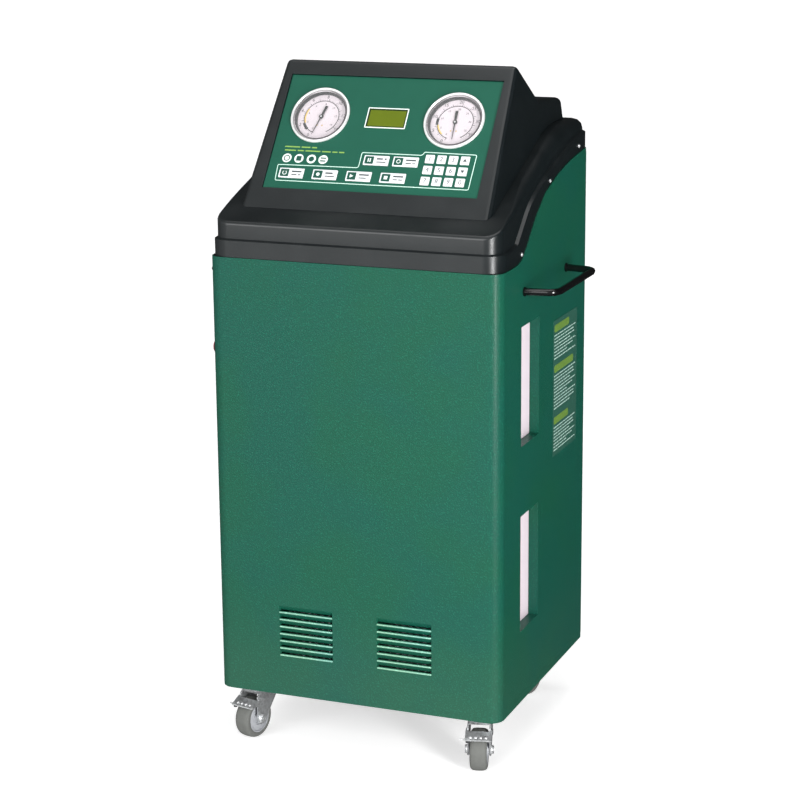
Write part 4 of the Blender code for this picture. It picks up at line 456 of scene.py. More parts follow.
class Shape:
    """A solid in the making, shaped by bmesh operators and placed before it is joined."""

    def __init__(self) -> None:
        """Starts empty."""
        self.bm = bmesh.new()

    @classmethod
    def sheet(cls, corners: Sequence[tuple[float, float]], corner: float = 0.0) -> "Shape":
        """Flat face through a few corners, which may be rounded."""
        shape = cls()
        shape.bm.faces.new([shape.bm.verts.new((x, y, 0)) for x, y in corners])
        return shape._round_corners(corner)

    @classmethod
    def card(cls, width: float, height: float, corner: float = 0.0) -> "Shape":
        """Flat rectangle about the origin."""
        shape = cls()
        bmesh.ops.create_grid(shape.bm, x_segments=1, y_segments=1, size=0.5)
        bmesh.ops.scale(shape.bm, vec=(width, height, 1), verts=shape.bm.verts)
        return shape._round_corners(corner)

    @classmethod
    def plate(cls, width: float, height: float, depth: float, corner: float = 0.0) -> "Shape":
        """Flat rectangular solid standing on z = 0."""
        return cls.card(width, height, corner).thick(depth)

    @classmethod
    def disc(cls, radius: float, depth: float, steps: int = 32) -> "Shape":
        """Flat round solid standing on z = 0."""
        shape = cls()
        bmesh.ops.create_circle(shape.bm, cap_ends=True, radius=radius, segments=steps)
        return shape.thick(depth)

    @classmethod
    def turned(
        cls, profile: Sequence[tuple[float, float]], steps: int = 48, closed: bool = False
    ) -> "Shape":
        """Profile of (radius, height) points spun about Z."""
        shape = cls()
        verts = [shape.bm.verts.new((radius, 0, height)) for radius, height in profile]
        pairs = list(zip(verts, verts[1:])) + ([(verts[-1], verts[0])] if closed else [])
        edges = [shape.bm.edges.new(pair) for pair in pairs]
        bmesh.ops.spin(
            shape.bm, geom=verts + edges, cent=(0, 0, 0), axis=(0, 0, 1), angle=tau,
            steps=steps, use_merge=True,
        )
        return shape._sound()

    @classmethod
    def arc(cls, radius: float, line: float, depth: float, start: float, end: float) -> "Shape":
        """Flat band round the origin between two clock angles in degrees."""
        shape = cls()
        spots = ((radius - line / 2, 0), (radius + line / 2, 0))
        spots += ((radius + line / 2, depth), (radius - line / 2, depth))
        turn = Matrix.Rotation(pi / 2 - radians(start), 4, "Z")
        face = shape.bm.faces.new([shape.bm.verts.new(turn @ Vector((x, 0, z))) for x, z in spots])
        bmesh.ops.spin(
            shape.bm, geom=[face, *face.edges, *face.verts], cent=(0, 0, 0), axis=(0, 0, 1),
            angle=-radians(end - start), steps=max(2, int(abs(end - start) / 5)),
        )
        return shape._sound()

    @classmethod
    def figures(cls, text: str, size: float, depth: float) -> "Shape":
        """Plain numbers as a thin solid, centred on the origin."""
        curve = bpy.data.curves.new("figures", "FONT")
        curve.body, curve.size, curve.extrude = text, size, depth / 2
        curve.align_x, curve.align_y = "CENTER", "CENTER"
        curve.resolution_u = 3
        holder = bpy.data.objects.new("figures", curve)
        mesh = bpy.data.meshes.new_from_object(holder)
        shape = cls()
        shape.bm.from_mesh(mesh)
        bmesh.ops.translate(shape.bm, vec=(0, 0, depth / 2), verts=shape.bm.verts)
        bpy.data.objects.remove(holder)
        bpy.data.meshes.remove(mesh)
        return shape._sound()

    @classmethod
    def copy_of(cls, node: str) -> "Shape":
        """A CAD node's mesh, merged and with flat areas made whole."""
        shape = cls()
        shape.bm.from_mesh(frame["nodes"][node].data)
        bmesh.ops.remove_doubles(shape.bm, verts=shape.bm.verts, dist=2e-6)
        bmesh.ops.dissolve_limit(
            shape.bm, angle_limit=radians(0.4), verts=shape.bm.verts, edges=shape.bm.edges
        )
        return shape

    def _round_corners(self, corner: float) -> "Shape":
        """Rounds the corners of a flat face."""
        if corner:
            bmesh.ops.bevel(
                self.bm, geom=self.bm.verts[:], offset=corner, offset_type="OFFSET", segments=5,
                profile=0.5, affect="VERTICES", material=-1, clamp_overlap=True,
            )
        return self

    def _sound(self) -> "Shape":
        """Closes seams and poles and turns the faces outwards."""
        bmesh.ops.remove_doubles(self.bm, verts=self.bm.verts, dist=1e-6)
        bmesh.ops.recalc_face_normals(self.bm, faces=self.bm.faces)
        return self

    def ring(self, line: float) -> "Shape":
        """Keeps only a line of that width inside the flat face's edge."""
        inner = self.bm.faces[:]
        bmesh.ops.inset_region(
            self.bm, faces=inner, thickness=line, use_even_offset=True, use_boundary=True
        )
        bmesh.ops.delete(self.bm, geom=inner, context="FACES_ONLY")
        return self

    def thick(self, depth: float) -> "Shape":
        """Draws the flat faces out into a closed solid."""
        made = bmesh.ops.extrude_face_region(self.bm, geom=self.bm.faces[:])
        verts = [item for item in made["geom"] if isinstance(item, bmesh.types.BMVert)]
        bmesh.ops.translate(self.bm, vec=(0, 0, depth), verts=verts)
        return self._sound()

    def soft(self, width: float, steps: int = 2, angle: float = 30.0) -> "Shape":
        """Rounds every edge that is sharper than the angle."""
        edges = [
            edge for edge in self.bm.edges
            if len(edge.link_faces) == 2 and edge.calc_face_angle(0) > radians(angle)
        ]
        bmesh.ops.bevel(
            self.bm, geom=edges, offset=width, offset_type="OFFSET", segments=steps, profile=0.5,
            affect="EDGES", material=-1, clamp_overlap=True,
        )
        return self

    def at(self, place: Matrix) -> "Shape":
        """Moves the solid."""
        bmesh.ops.transform(self.bm, matrix=place, verts=self.bm.verts)
        return self

    @classmethod
    def words(cls, length: float, line: float, first: int = 0) -> "Shape":
        """A printed line as a row of plain bars of uneven length, from x = 0."""
        shape, start, word = cls(), 0.0, first
        while start < length - line:
            wide = min(length - start, line * (9.0, 5.0, 12.0, 7.0, 4.0)[word % 5])
            shape.join(cls.plate(wide, line, INK).at(spot(start + wide / 2, 0)))
            start, word = start + wide + line * 1.3, word + 1
        return shape

    def join(self, *others: "Shape") -> "Shape":
        """Takes in other solids."""
        for other in others:
            mesh = bpy.data.meshes.new("joined")
            other.bm.to_mesh(mesh)
            other.bm.free()
            self.bm.from_mesh(mesh)
            bpy.data.meshes.remove(mesh)
        return self

    def mesh(self, name: str, crease: float) -> bpy.types.Mesh:
        """The finished mesh, smooth except where it bends more than the crease angle."""
        for face in self.bm.faces:
            face.smooth = True
        for edge in self.bm.edges:
            edge.smooth = edge.calc_face_angle(pi) < radians(crease)
        mesh = bpy.data.meshes.new(name)
        self.bm.to_mesh(mesh)
        self.bm.free()
        return mesh


def spot(x: float, y: float, z: float = 0.0) -> Matrix:
    """Placement without a turn."""
    return Matrix.Translation((x, y, z))


def facing(origin: Sequence[float], out: Sequence[float], up: Sequence[float]) -> Matrix:
    """Placement whose local Z looks out of a surface and whose local Y goes up it."""
    outward, upward = Vector(out), Vector(up)
    across = upward.cross(outward)
    turn = Matrix((across, upward, outward)).transposed().to_4x4()
    return Matrix.Translation(origin) @ turn


def add_object(name: str, data: bpy.types.ID) -> bpy.types.Object:
    """A new object of that data, linked to the scene."""
    item = bpy.data.objects.new(name, data)
    bpy.context.scene.collection.objects.link(item)
    return item


@dataclass
class Assembly:
    """A group of pieces that are built, dressed and carried together."""

    def __post_init__(self) -> None:
        """Starts the list of pieces."""
        self.pieces: list[bpy.types.Object] = []

    def piece(
        self, name: str, shape: Shape, finish: Finish, body: str = ROOT,
        stands_for: Sequence[str] = (), crease: float = 35.0,
    ) -> bpy.types.Object:
        """Makes an object of a shape, and dresses and carries it.

        Args:
            name: the piece's name.
            shape: its solid, already in place.
            finish: its finish.
            body: the CAD body that carries it.
            stands_for: CAD nodes that it replaces.
            crease: angle in degrees above which an edge stays sharp.

        Returns:
            The piece.
        """
        item = add_object(name, shape.mesh(name, crease))
        item.data.materials.append(finish.material())
        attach(item, body)
        if stands_for:
            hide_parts(*stands_for)
        self.pieces.append(item)
        return item

    def skin(self, node: str, finish: Finish, crease: float = 32.0, edge: float = 0.0) -> None:
        """Replaces a CAD node by a smooth copy, with small rounded edges if asked.

        Args:
            node: the CAD node.
            finish: its finish.
            crease: angle in degrees above which an edge stays sharp.
            edge: width of the rounding, or 0 for none.
        """
        body = frame["nodes"][node]["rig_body"]
        item = self.piece(f"{node}_skin", Shape.copy_of(node), finish, body, (node,), crease)
        if edge:
            rounding = item.modifiers.new("edge", "BEVEL")
            rounding.width, rounding.segments = edge, 2
            rounding.limit_method, rounding.angle_limit = "ANGLE", radians(crease)
            rounding.use_clamp_overlap = True
        even = item.modifiers.new("even", "WEIGHTED_NORMAL")
        even.keep_sharp = True

    def coat(self, node: str, finish: Finish) -> None:
        """Gives a CAD node that keeps its shape a finish."""
        item = frame["nodes"][node]
        item.data.materials.clear()
        item.data.materials.append(finish.material())
        self.pieces.append(item)


@dataclass
class PanelFace:
    """The tilted face of the console, on which every panel piece is placed."""

    y: float = -0.1504
    z: float = 0.9364
    tilt: float = 37.2

    def place(self, across: float, up: float, out: float = 0.0) -> Matrix:
        """Placement on the panel at a distance across, up and out of it."""
        turn = radians(self.tilt)
        face = facing((0, self.y, self.z), (0, -cos(turn), sin(turn)), (0, sin(turn), cos(turn)))
        return face @ spot(across, up, out)


PANEL_FACE = PanelFace()
INK = 0.00012
INK_BASE = -0.00004


class Screw(Enum):
    """Heads of the screws that show."""

    PAN = "pan"
    HEX = "hex"


@dataclass
class Fastener:
    """A screw or bolt head that stands on z = 0."""

    head: Screw
    radius: float
    height: float

    def shape(self) -> Shape:
        """The head, with a recess or a chamfered hexagon."""
        if self.head is Screw.HEX:
            bolt = Shape.disc(self.radius, self.height, 6).soft(self.radius * 0.10, 2)
            washer = Shape.disc(self.radius * 1.25, self.height * 0.22, 28)
            return bolt.join(washer.soft(self.height * 0.06, 2))
        profile = [(0.0, self.height * 0.45), (self.radius * 0.30, self.height * 0.45)]
        profile += [(self.radius * 0.42, self.height)]
        profile += [
            (self.radius * cos(radians(turn)), self.height * (0.25 + 0.75 * sin(radians(turn))))
            for turn in (58, 38, 18, 0)
        ]
        profile += [(self.radius, 0.0), (0.0, 0.0)]
        return Shape.turned(profile, 24)


@dataclass
class Cabinet(Assembly):
    """Sheet cabinet, its sight windows' bottles and the plain plate on the right side."""

    side: float = 0.2500
    label_front: float = 0.0400
    label_rear: float = 0.1690
    label_bottom: float = 0.4735
    label_top: float = 0.7065
    label_depth: float = 0.0004
    front: float = -0.2260
    louvre_columns: tuple[float, float] = (-0.0888, 0.0853)
    louvre_rows: int = 7
    louvre_top: float = 0.2403
    louvre_pitch: float = 0.0125
    louvre_length: float = 0.0950
    lip_height: float = 0.0026
    label_margin: float = 0.005
    strips: tuple[tuple[float, float, int], ...] = (
        (0.1020, 0.080, 8), (0.0330, 0.104, 11), (-0.0560, 0.078, 8),
    )
    strip_height: float = 0.0125
    rule_shares: tuple[float, ...] = (0.97, 0.90, 0.94, 0.72, 0.96, 0.86, 0.58)
    rule_height: float = 0.0017
    rule_drop: float = 0.0118
    rule_pitch: float = 0.0056

    def build(self) -> None:
        """Builds and dresses the pieces."""
        self.skin("cabinet_shell", GREEN)
        self.skin("base_pan", BLACK_STEEL)
        for node in ("oil_bottle_lower", "oil_bottle_upper"):
            self.skin(node, BOTTLE_WITH_GLOW, edge=0.0012)
        self._louvre_lips()
        self._label()

    def _louvre_lips(self) -> None:
        """Rolled lip under each slit, in a lighter green that is a painted highlight."""
        lips = Shape()
        for x in self.louvre_columns:
            for row in range(self.louvre_rows):
                z = self.louvre_top - self.louvre_pitch * row
                place = facing((x, self.front, z), (0, -1, 0), (0, 0, 1)) @ spot(0, 0, -0.0004)
                bead = Shape.plate(self.louvre_length, self.lip_height, 0.0012, 0.0008)
                lips.join(bead.soft(0.0006, 3, 50).at(place))
        self.piece("louvre_lips", lips, LIP_PAINTED_HIGHLIGHT)

    def _label(self) -> None:
        """Plain instruction plate with three strips and rows of rules in place of words."""
        width = self.label_rear - self.label_front
        centre = ((self.label_front + self.label_rear) / 2, (self.label_bottom + self.label_top) / 2)
        base = facing((self.side, centre[0], centre[1]), (1, 0, 0), (0, 0, 1))
        plate = Shape.plate(width, self.label_top - self.label_bottom, self.label_depth, 0.003)
        self.piece("side_plate", plate.at(base), LABEL)
        strips, rules = Shape(), Shape()
        left, face = -width / 2 + self.label_margin, self.label_depth + INK_BASE
        for top, strip_width, rows in self.strips:
            strip = Shape.plate(strip_width, self.strip_height, INK, 0.004)
            strips.join(strip.at(base @ spot(left + strip_width / 2, top, face)))
            for row in range(rows):
                share = self.rule_shares[row % len(self.rule_shares)]
                line = Shape.words((width - 2 * self.label_margin) * share, self.rule_height, row)
                height = top - self.rule_drop - self.rule_pitch * row
                rules.join(line.at(base @ spot(left, height, face)))
        self.piece("side_plate_strips", strips, OLIVE)
        self.piece("side_plate_rules", rules, RULES)


@dataclass
class Cover(Assembly):
    """Moulded cover and console with the screws along the cover's edge."""

    screw_places: tuple[tuple[float, float], ...] = (
        (-0.122, 0.847), (0.020, 0.943), (0.175, 0.9795),
    )
    half_width: float = 0.2488

    def build(self) -> None:
        """Builds and dresses the pieces."""
        self.skin("top_cover", BLACK, 40.0)
        self.skin("console_housing", BLACK, 28.0, 0.0008)
        screws = Shape()
        for side in (-1, 1):
            for y, z in self.screw_places:
                place = facing((side * (self.half_width - 0.0001), y, z), (side, 0, 0), (0, 0, 1))
                screws.join(Fastener(Screw.PAN, 0.0030, 0.0018).shape().at(place))
        self.piece("cover_screws", screws, STEEL)


@dataclass
class ControlPanel(Assembly):
    """Green panel film, its printed lines and the display."""

    display_width: float = 0.0665
    display_height: float = 0.0335
    display_up: float = 0.1370
    display_front: float = 0.0004
    line: float = 0.0013

    def build(self) -> None:
        """Builds and dresses the pieces."""
        self.skin("control_panel", PANEL, edge=0.0003)
        self.skin("display_window", LCD, edge=0.0002)
        self._display_border()
        outline = (
            (-0.167, 0.0138), (0.167, 0.0140), (0.168, 0.0780), (0.078, 0.0790),
            (0.0765, 0.0730), (-0.028, 0.0730), (-0.028, 0.0450), (-0.169, 0.0440),
        )
        lines = Shape.sheet(outline, 0.004).ring(self.line).thick(INK)
        lines.at(PANEL_FACE.place(0, 0, INK_BASE))
        self.piece("key_field_line", lines, MINT)
        frame_line = Shape.card(0.0705, 0.0375, 0.0012).ring(0.0018).thick(INK)
        frame_line.at(PANEL_FACE.place(0, self.display_up, INK_BASE))
        self.piece("display_line", frame_line, WHITE_INK)
        self._round_marks()
        bars = Shape()
        for across, up, width in ((-0.134, 0.0770, 0.060), (-0.1105, 0.0705, 0.105)):
            bar = Shape.words(width, 0.0022, int(up * 1000))
            bars.join(bar.at(PANEL_FACE.place(across - width / 2, up, INK_BASE)))
        self.piece("panel_bars", bars, LIME)

    def _display_border(self) -> None:
        """Dark border on the display, with painted shadow that widens it along its upper and left
        edges.
        """
        border = Shape.card(self.display_width - 0.0004, self.display_height - 0.0004)
        border = border.ring(0.0013).thick(INK)
        # Painted shadow: a dark strip inside the upper edge and one inside the left edge.
        shadow = Shape.plate(self.display_width - 0.003, 0.0018, INK)
        shadow.at(spot(0, self.display_height / 2 - 0.0020))
        side = Shape.plate(0.0016, self.display_height - 0.003, INK)
        side.at(spot(-self.display_width / 2 + 0.0020, 0))
        border.join(shadow, side)
        border.at(PANEL_FACE.place(0, self.display_up, self.display_front + INK_BASE))
        self.piece("display_border_and_painted_shadow", border, LCD_BORDER_AND_SHADOW)

    def _round_marks(self) -> None:
        """Four round white marks with plain signs."""
        discs, signs = Shape(), Shape()
        for index, across in enumerate((-0.1557, -0.1344, -0.1124, -0.0917)):
            base = PANEL_FACE.place(across, 0.0560, INK_BASE)
            discs.join(Shape.disc(0.0080, INK, 40).at(base))
            face = base @ spot(0, 0, INK * 0.8)
            if index == 0:
                signs.join(Shape.arc(0.0046, 0.0016, INK, 0, 360).at(face))
            elif index == 1:
                signs.join(Shape.plate(0.0088, 0.0088, INK, 0.001).at(face))
            elif index == 2:
                signs.join(Shape.disc(0.0047, INK, 32).at(face))
            else:
                signs.join(Shape.plate(0.0098, 0.0022, INK).at(face @ spot(0, 0.0026)))
                signs.join(Shape.plate(0.0098, 0.0022, INK).at(face @ spot(0, -0.0026)))
        self.piece("round_marks", discs, WHITE_INK)
        self.piece("round_mark_signs", signs, DARK_INK)


@dataclass
class Gauge(Assembly):
    """One dial gauge: case, ring, dial card with its scale, lens and needle."""

    side: str
    across: float
    rest: float
    black_band: tuple[float, float]
    amber_band: tuple[float, float]
    figures: tuple[tuple[str, float], ...]
    up: float = 0.1370
    ring_radius: float = 0.0508
    case_radius: float = 0.0468
    dial_radius: float = 0.0436
    dial_level: float = -0.0050
    ring_top: float = 0.0043
    scale_radius: float = 0.0300
    ticks: int = 55
    first_tick: float = 198.0
    tick_pitch: float = 5.75
    figure_rings: tuple[tuple[float, float], ...] = ((0.0376, 0.0080), (0.0243, 0.0050))

    def _place(self, out: float = 0.0, turn: float = 0.0) -> Matrix:
        """Placement about the gauge's middle, turned clockwise in degrees."""
        spun = Matrix.Rotation(-radians(turn), 4, "Z")
        return PANEL_FACE.place(self.across, self.up, out) @ spun

    def build(self) -> None:
        """Builds and dresses the pieces."""
        self._case()
        self._scale()
        self._needle()

    def _turn(
        self, name: str, profile: Sequence[tuple[float, float]], finish: Finish,
        steps: int = 72, closed: bool = True, stands_for: Sequence[str] = (),
    ) -> None:
        """Makes a piece from a profile that is turned about the gauge's middle.

        Args:
            name: the piece's name after the gauge's side.
            profile: points of (radius, height over the panel).
            finish: its finish.
            steps: segments round it.
            closed: whether the profile is a loop clear of the axis.
            stands_for: CAD nodes that it replaces.
        """
        shape = Shape.turned(profile, steps, closed).at(self._place())
        self.piece(f"{self.side}_{name}", shape, finish, stands_for=stands_for)

    def _case(self) -> None:
        """Case, bright ring, dial card and lens."""
        top = self.ring_top
        case = (
            (0.0, -0.0054), (0.0440, -0.0054), (0.0440, 0.0008), (self.case_radius, 0.0008),
            (self.case_radius, -0.0300), (0.0438, -0.0330), (0.0070, -0.0330), (0.0070, -0.0490),
            (0.0, -0.0490),
        )
        self._turn("gauge_case", case, BLACK_STEEL, 72, False, (f"gauge_{self.side}",))
        ring = (
            (0.0468, 0.0003), (0.0468, 0.0030), (0.0474, top - 0.0006), (0.0481, top),
            (0.0493, top), (0.0501, top - 0.0004), (0.0507, top - 0.0013),
            (self.ring_radius, 0.0003),
        )
        self._turn("gauge_ring", ring, CHROME, 96)
        # The bezel's inner slope is painted darker as shade.
        slope = (
            (0.0438, 0.0009), (0.0440, 0.0016), (0.0452, 0.0024), (0.0461, 0.0025),
            (0.0467, 0.0020), (0.0467, 0.0009),
        )
        self._turn("gauge_slope", slope, SHADED_SLOPE, 96)
        # Black ring where the bezel meets the dial: painted shade.
        well = ((0.0424, -0.0050), (0.0438, -0.0050), (0.0438, 0.0012), (0.0430, 0.0012))
        self._turn("gauge_painted_shade_ring", well, BLACK_INK)
        card = Shape.disc(self.dial_radius - 0.0002, 0.0004, 96)
        card.at(self._place(self.dial_level - 0.0004))
        self.piece(f"{self.side}_dial_card", card, DIAL)
        lens = (
            (0.0, 0.0034), (0.0200, 0.0033), (0.0340, 0.0031), (0.0436, 0.0028),
            (0.0436, 0.0016), (0.0, 0.0016),
        )
        self._turn("gauge_pane", lens, GLASS, 72, False, (f"gauge_lens_{self.side}",))

    def _scale(self) -> None:
        """Printed bands, ticks and numbers, and the dial's two screws."""
        name = self.side
        ink = self.dial_level + INK_BASE
        radius = self.scale_radius
        black = Shape.arc(radius, 0.0012, INK, 195, 513)
        black.join(Shape.arc(radius + 0.0006, 0.0046, INK * 1.2, *self.black_band))
        black.join(Shape.arc(0.0418, 0.0008, INK, 0, 360))
        for step in range(self.ticks):
            turn = self.first_tick + step * self.tick_pitch
            long = step % 5 == 0
            length = 0.0046 if long else 0.0028
            tick = Shape.plate(0.0008 if long else 0.00045, length, INK)
            tick.at(Matrix.Rotation(-radians(turn), 4, "Z") @ spot(0, radius + length / 2))
            black.join(tick)
        self.piece(f"{name}_dial_scale", black.at(self._place(ink)), BLACK_INK)
        amber = Shape.arc(radius - 0.0016, 0.0026, INK, *self.amber_band)
        self.piece(f"{name}_dial_band", amber.at(self._place(ink)), AMBER_INK)
        numbers = Shape()
        for text, turn in self.figures:
            way = radians(turn)
            for reach, size in self.figure_rings:
                place = spot(reach * sin(way), reach * cos(way))
                numbers.join(Shape.figures(text, size, INK).at(place))
        self.piece(f"{name}_dial_figures", numbers.at(self._place(ink)), BLACK_INK)
        screws = Shape()
        for across in (-0.0046, 0.0046):
            head = Fastener(Screw.PAN, 0.0014, 0.0006).shape()
            screws.join(head.at(self._place(self.dial_level) @ spot(across, -0.0155)))
        self.piece(f"{name}_dial_screws", screws, BRASS)

    def _needle(self) -> None:
        """Tapered pointer, its hub and the bright pin in the middle."""
        name = self.side
        body = f"needle_{name}_body"
        half = (
            (0.00045, 0.0315), (0.0011, 0.002), (0.0020, -0.0062), (0.0024, -0.0200),
            (0.0018, -0.0206),
        )
        outline = [(-x, y) for x, y in half] + list(reversed(half))
        blade = Shape.sheet(outline).thick(0.0006).soft(0.00012, 1, 40)
        place = self._place(-0.0033, self.rest)
        hub = (
            (0.0, -0.0047), (0.0036, -0.0047), (0.0036, -0.0024), (0.0031, -0.0020),
            (0.0, -0.0020),
        )
        blade.at(place).join(Shape.turned(hub, 40).at(self._place()))
        self.piece(f"{name}_pointer", blade, NEEDLE, body, (f"needle_{name}",))
        pin = (
            (0.0, -0.0015), (0.0009, -0.0016), (0.0014, -0.0020), (0.0014, -0.0024),
            (0.0, -0.0024),
        )
        self.piece(f"{name}_pointer_pin", Shape.turned(pin, 28).at(self._place()), STEEL, body)


KEY_LABELS = ("1", "2", "3", "up", "4", "5", "6", "down", "7", "8", "9", "0")


@dataclass
class KeyPad(Assembly):
    """Eighteen keys with their printed numbers and plain signs."""

    number_size: tuple[float, float] = (0.0150, 0.0148)
    function_size: tuple[float, float] = (0.0430, 0.0175)
    pitch: float = 0.0198
    number_first: tuple[float, float] = (0.0906, 0.0662)
    front: float = 0.0009
    depth: float = 0.0030
    lower_first: float = -0.1408
    lower_pitch: float = 0.0588
    lower_up: float = 0.0286
    upper_row: tuple[tuple[float, float], ...] = ((0.0003, 0.0589), (0.0507, 0.0589))

    def build(self) -> None:
        """Builds and dresses the pieces."""
        for index, label in enumerate(KEY_LABELS):
            across = self.number_first[0] + self.pitch * (index % 4)
            up = self.number_first[1] - self.pitch * (index // 4)
            self._cap(f"key_{label}", across, up, self.number_size)
            self._number_sign(label, across, up)
        places = [(self.lower_first + self.lower_pitch * index, self.lower_up) for index in range(4)]
        places += self.upper_row
        for index, (across, up) in enumerate(places):
            self._cap(f"function_key_{index + 1}", across, up, self.function_size)
            self._function_sign(index, across, up)

    def _cap(self, node: str, across: float, up: float, size: tuple[float, float]) -> None:
        """Key cap with rounded corners and a softened front edge."""
        cap = Shape.plate(size[0], size[1], self.depth, 0.0011).soft(0.00035, 3, 50)
        cap.at(PANEL_FACE.place(across, up, self.front - self.depth))
        self.piece(f"{node}_cap", cap, KEY, f"{node}_body", (node,))

    def _number_sign(self, label: str, across: float, up: float) -> None:
        """Number or arrow on a small key."""
        place = PANEL_FACE.place(across, up, self.front + INK_BASE)
        if label in ("up", "down"):
            way = 1 if label == "up" else -1
            arrow = ((-0.0034, -0.0022 * way), (0.0034, -0.0022 * way), (0.0, 0.0030 * way))
            sign = Shape.sheet(arrow).thick(INK)
        else:
            sign = Shape.figures(label, 0.0112, INK)
        self.piece(f"key_{label}_sign", sign.at(place), GREY_INK, f"key_{label}_body")

    def _function_sign(self, index: int, across: float, up: float) -> None:
        """Dark square with a plain sign and two rules on a wide key."""
        name = f"function_key_{index + 1}"
        place = PANEL_FACE.place(across, up, self.front + INK_BASE)
        square = Shape.plate(0.0148, 0.0136, INK, 0.0012).at(spot(-0.0118, 0))
        self.piece(f"{name}_square", square.at(place), DARK_INK, f"{name}_body")
        raised = spot(-0.0118, 0, INK * 0.8)
        if index == 0:
            sign = Shape.arc(0.0032, 0.0012, INK, 30, 330).at(raised)
        elif index == 1:
            sign = Shape.disc(0.0030, INK, 28).at(raised)
        elif index == 2:
            sign = Shape.sheet(((-0.0030, -0.0030), (0.0032, 0.0), (-0.0030, 0.0030))).thick(INK)
            sign.at(raised)
        elif index == 3:
            sign = Shape.plate(0.0060, 0.0060, INK, 0.0006).at(raised)
        elif index == 4:
            sign = Shape.plate(0.0018, 0.0066, INK).at(raised @ spot(-0.0017, 0))
            sign.join(Shape.plate(0.0018, 0.0066, INK).at(raised @ spot(0.0017, 0)))
        else:
            sign = Shape.arc(0.0031, 0.0011, INK, 0, 360).at(raised)
        self.piece(f"{name}_sign", sign.at(place), WHITE_INK, f"{name}_body")
        rules = Shape.words(0.0170, 0.0026, index).at(spot(0.0006, 0.0028))
        rules.join(Shape.words(0.0160, 0.0018, index + 1).at(spot(0.0010, -0.0030)))
        self.piece(f"{name}_rules", rules.at(place), GREY_INK, f"{name}_body")


@dataclass
class SideFittings(Assembly):
    """Handles, stop button, power inlet and hose ports on the cabinet's sides."""

    stop_place: tuple[float, float, float] = (-0.2500, -0.1570, 0.6680)

    def build(self) -> None:
        """Builds and dresses the pieces."""
        for node in ("handle_left", "handle_right"):
            self.skin(node, BLACK_GLOSS, 50.0)
        self._stop_button()
        self._power_inlet()
        self.skin("service_ports", BRASS, 30.0, 0.0003)

    def _stop_button(self) -> None:
        """Mushroom head with a domed face, on a fixed collar; the head's rim and sides are a darker
        red as painted shade.
        """
        place = facing(self.stop_place, (-1, 0, 0), (0, 0, 1))
        head = (
            (0.0, 0.0232), (0.0100, 0.0228), (0.0117, 0.0222), (0.0131, 0.0205),
            (0.0139, 0.0180), (0.0140, 0.0150), (0.0137, 0.0128), (0.0120, 0.0118),
            (0.0080, 0.0090), (0.0080, -0.0200), (0.0, -0.0200),
        )
        self.piece(
            "stop_button_head", Shape.turned(head, 64).at(place), SHADED_RED, "stop_button_body",
            ("stop_button",),
        )
        face = (
            (0.0, 0.0250), (0.0050, 0.0248), (0.0085, 0.0242), (0.0100, 0.0236),
            (0.0106, 0.0229), (0.0106, 0.0220), (0.0, 0.0220),
        )
        self.piece("stop_button_face", Shape.turned(face, 64).at(place), RED, "stop_button_body")
        collar = (
            (0.0084, 0.0), (0.0084, 0.0034), (0.0120, 0.0034), (0.0134, 0.0024), (0.0138, 0.0),
        )
        self.piece("stop_button_collar", Shape.turned(collar, 48, True).at(place), BLACK)

    def _power_inlet(self) -> None:
        """Inlet housing with its three blades."""
        self.skin("power_inlet", BLACK, 30.0, 0.0004)
        blades = Shape()
        for y, z in ((0.150, 0.1845), (0.1435, 0.1775), (0.1565, 0.1775)):
            base = facing((-0.2370, y, z), (-1, 0, 0), (0, 0, 1))
            blades.join(Shape.plate(0.0020, 0.0048, 0.0090, 0.0004).at(base))
        self.piece("inlet_blades", blades, BRASS)


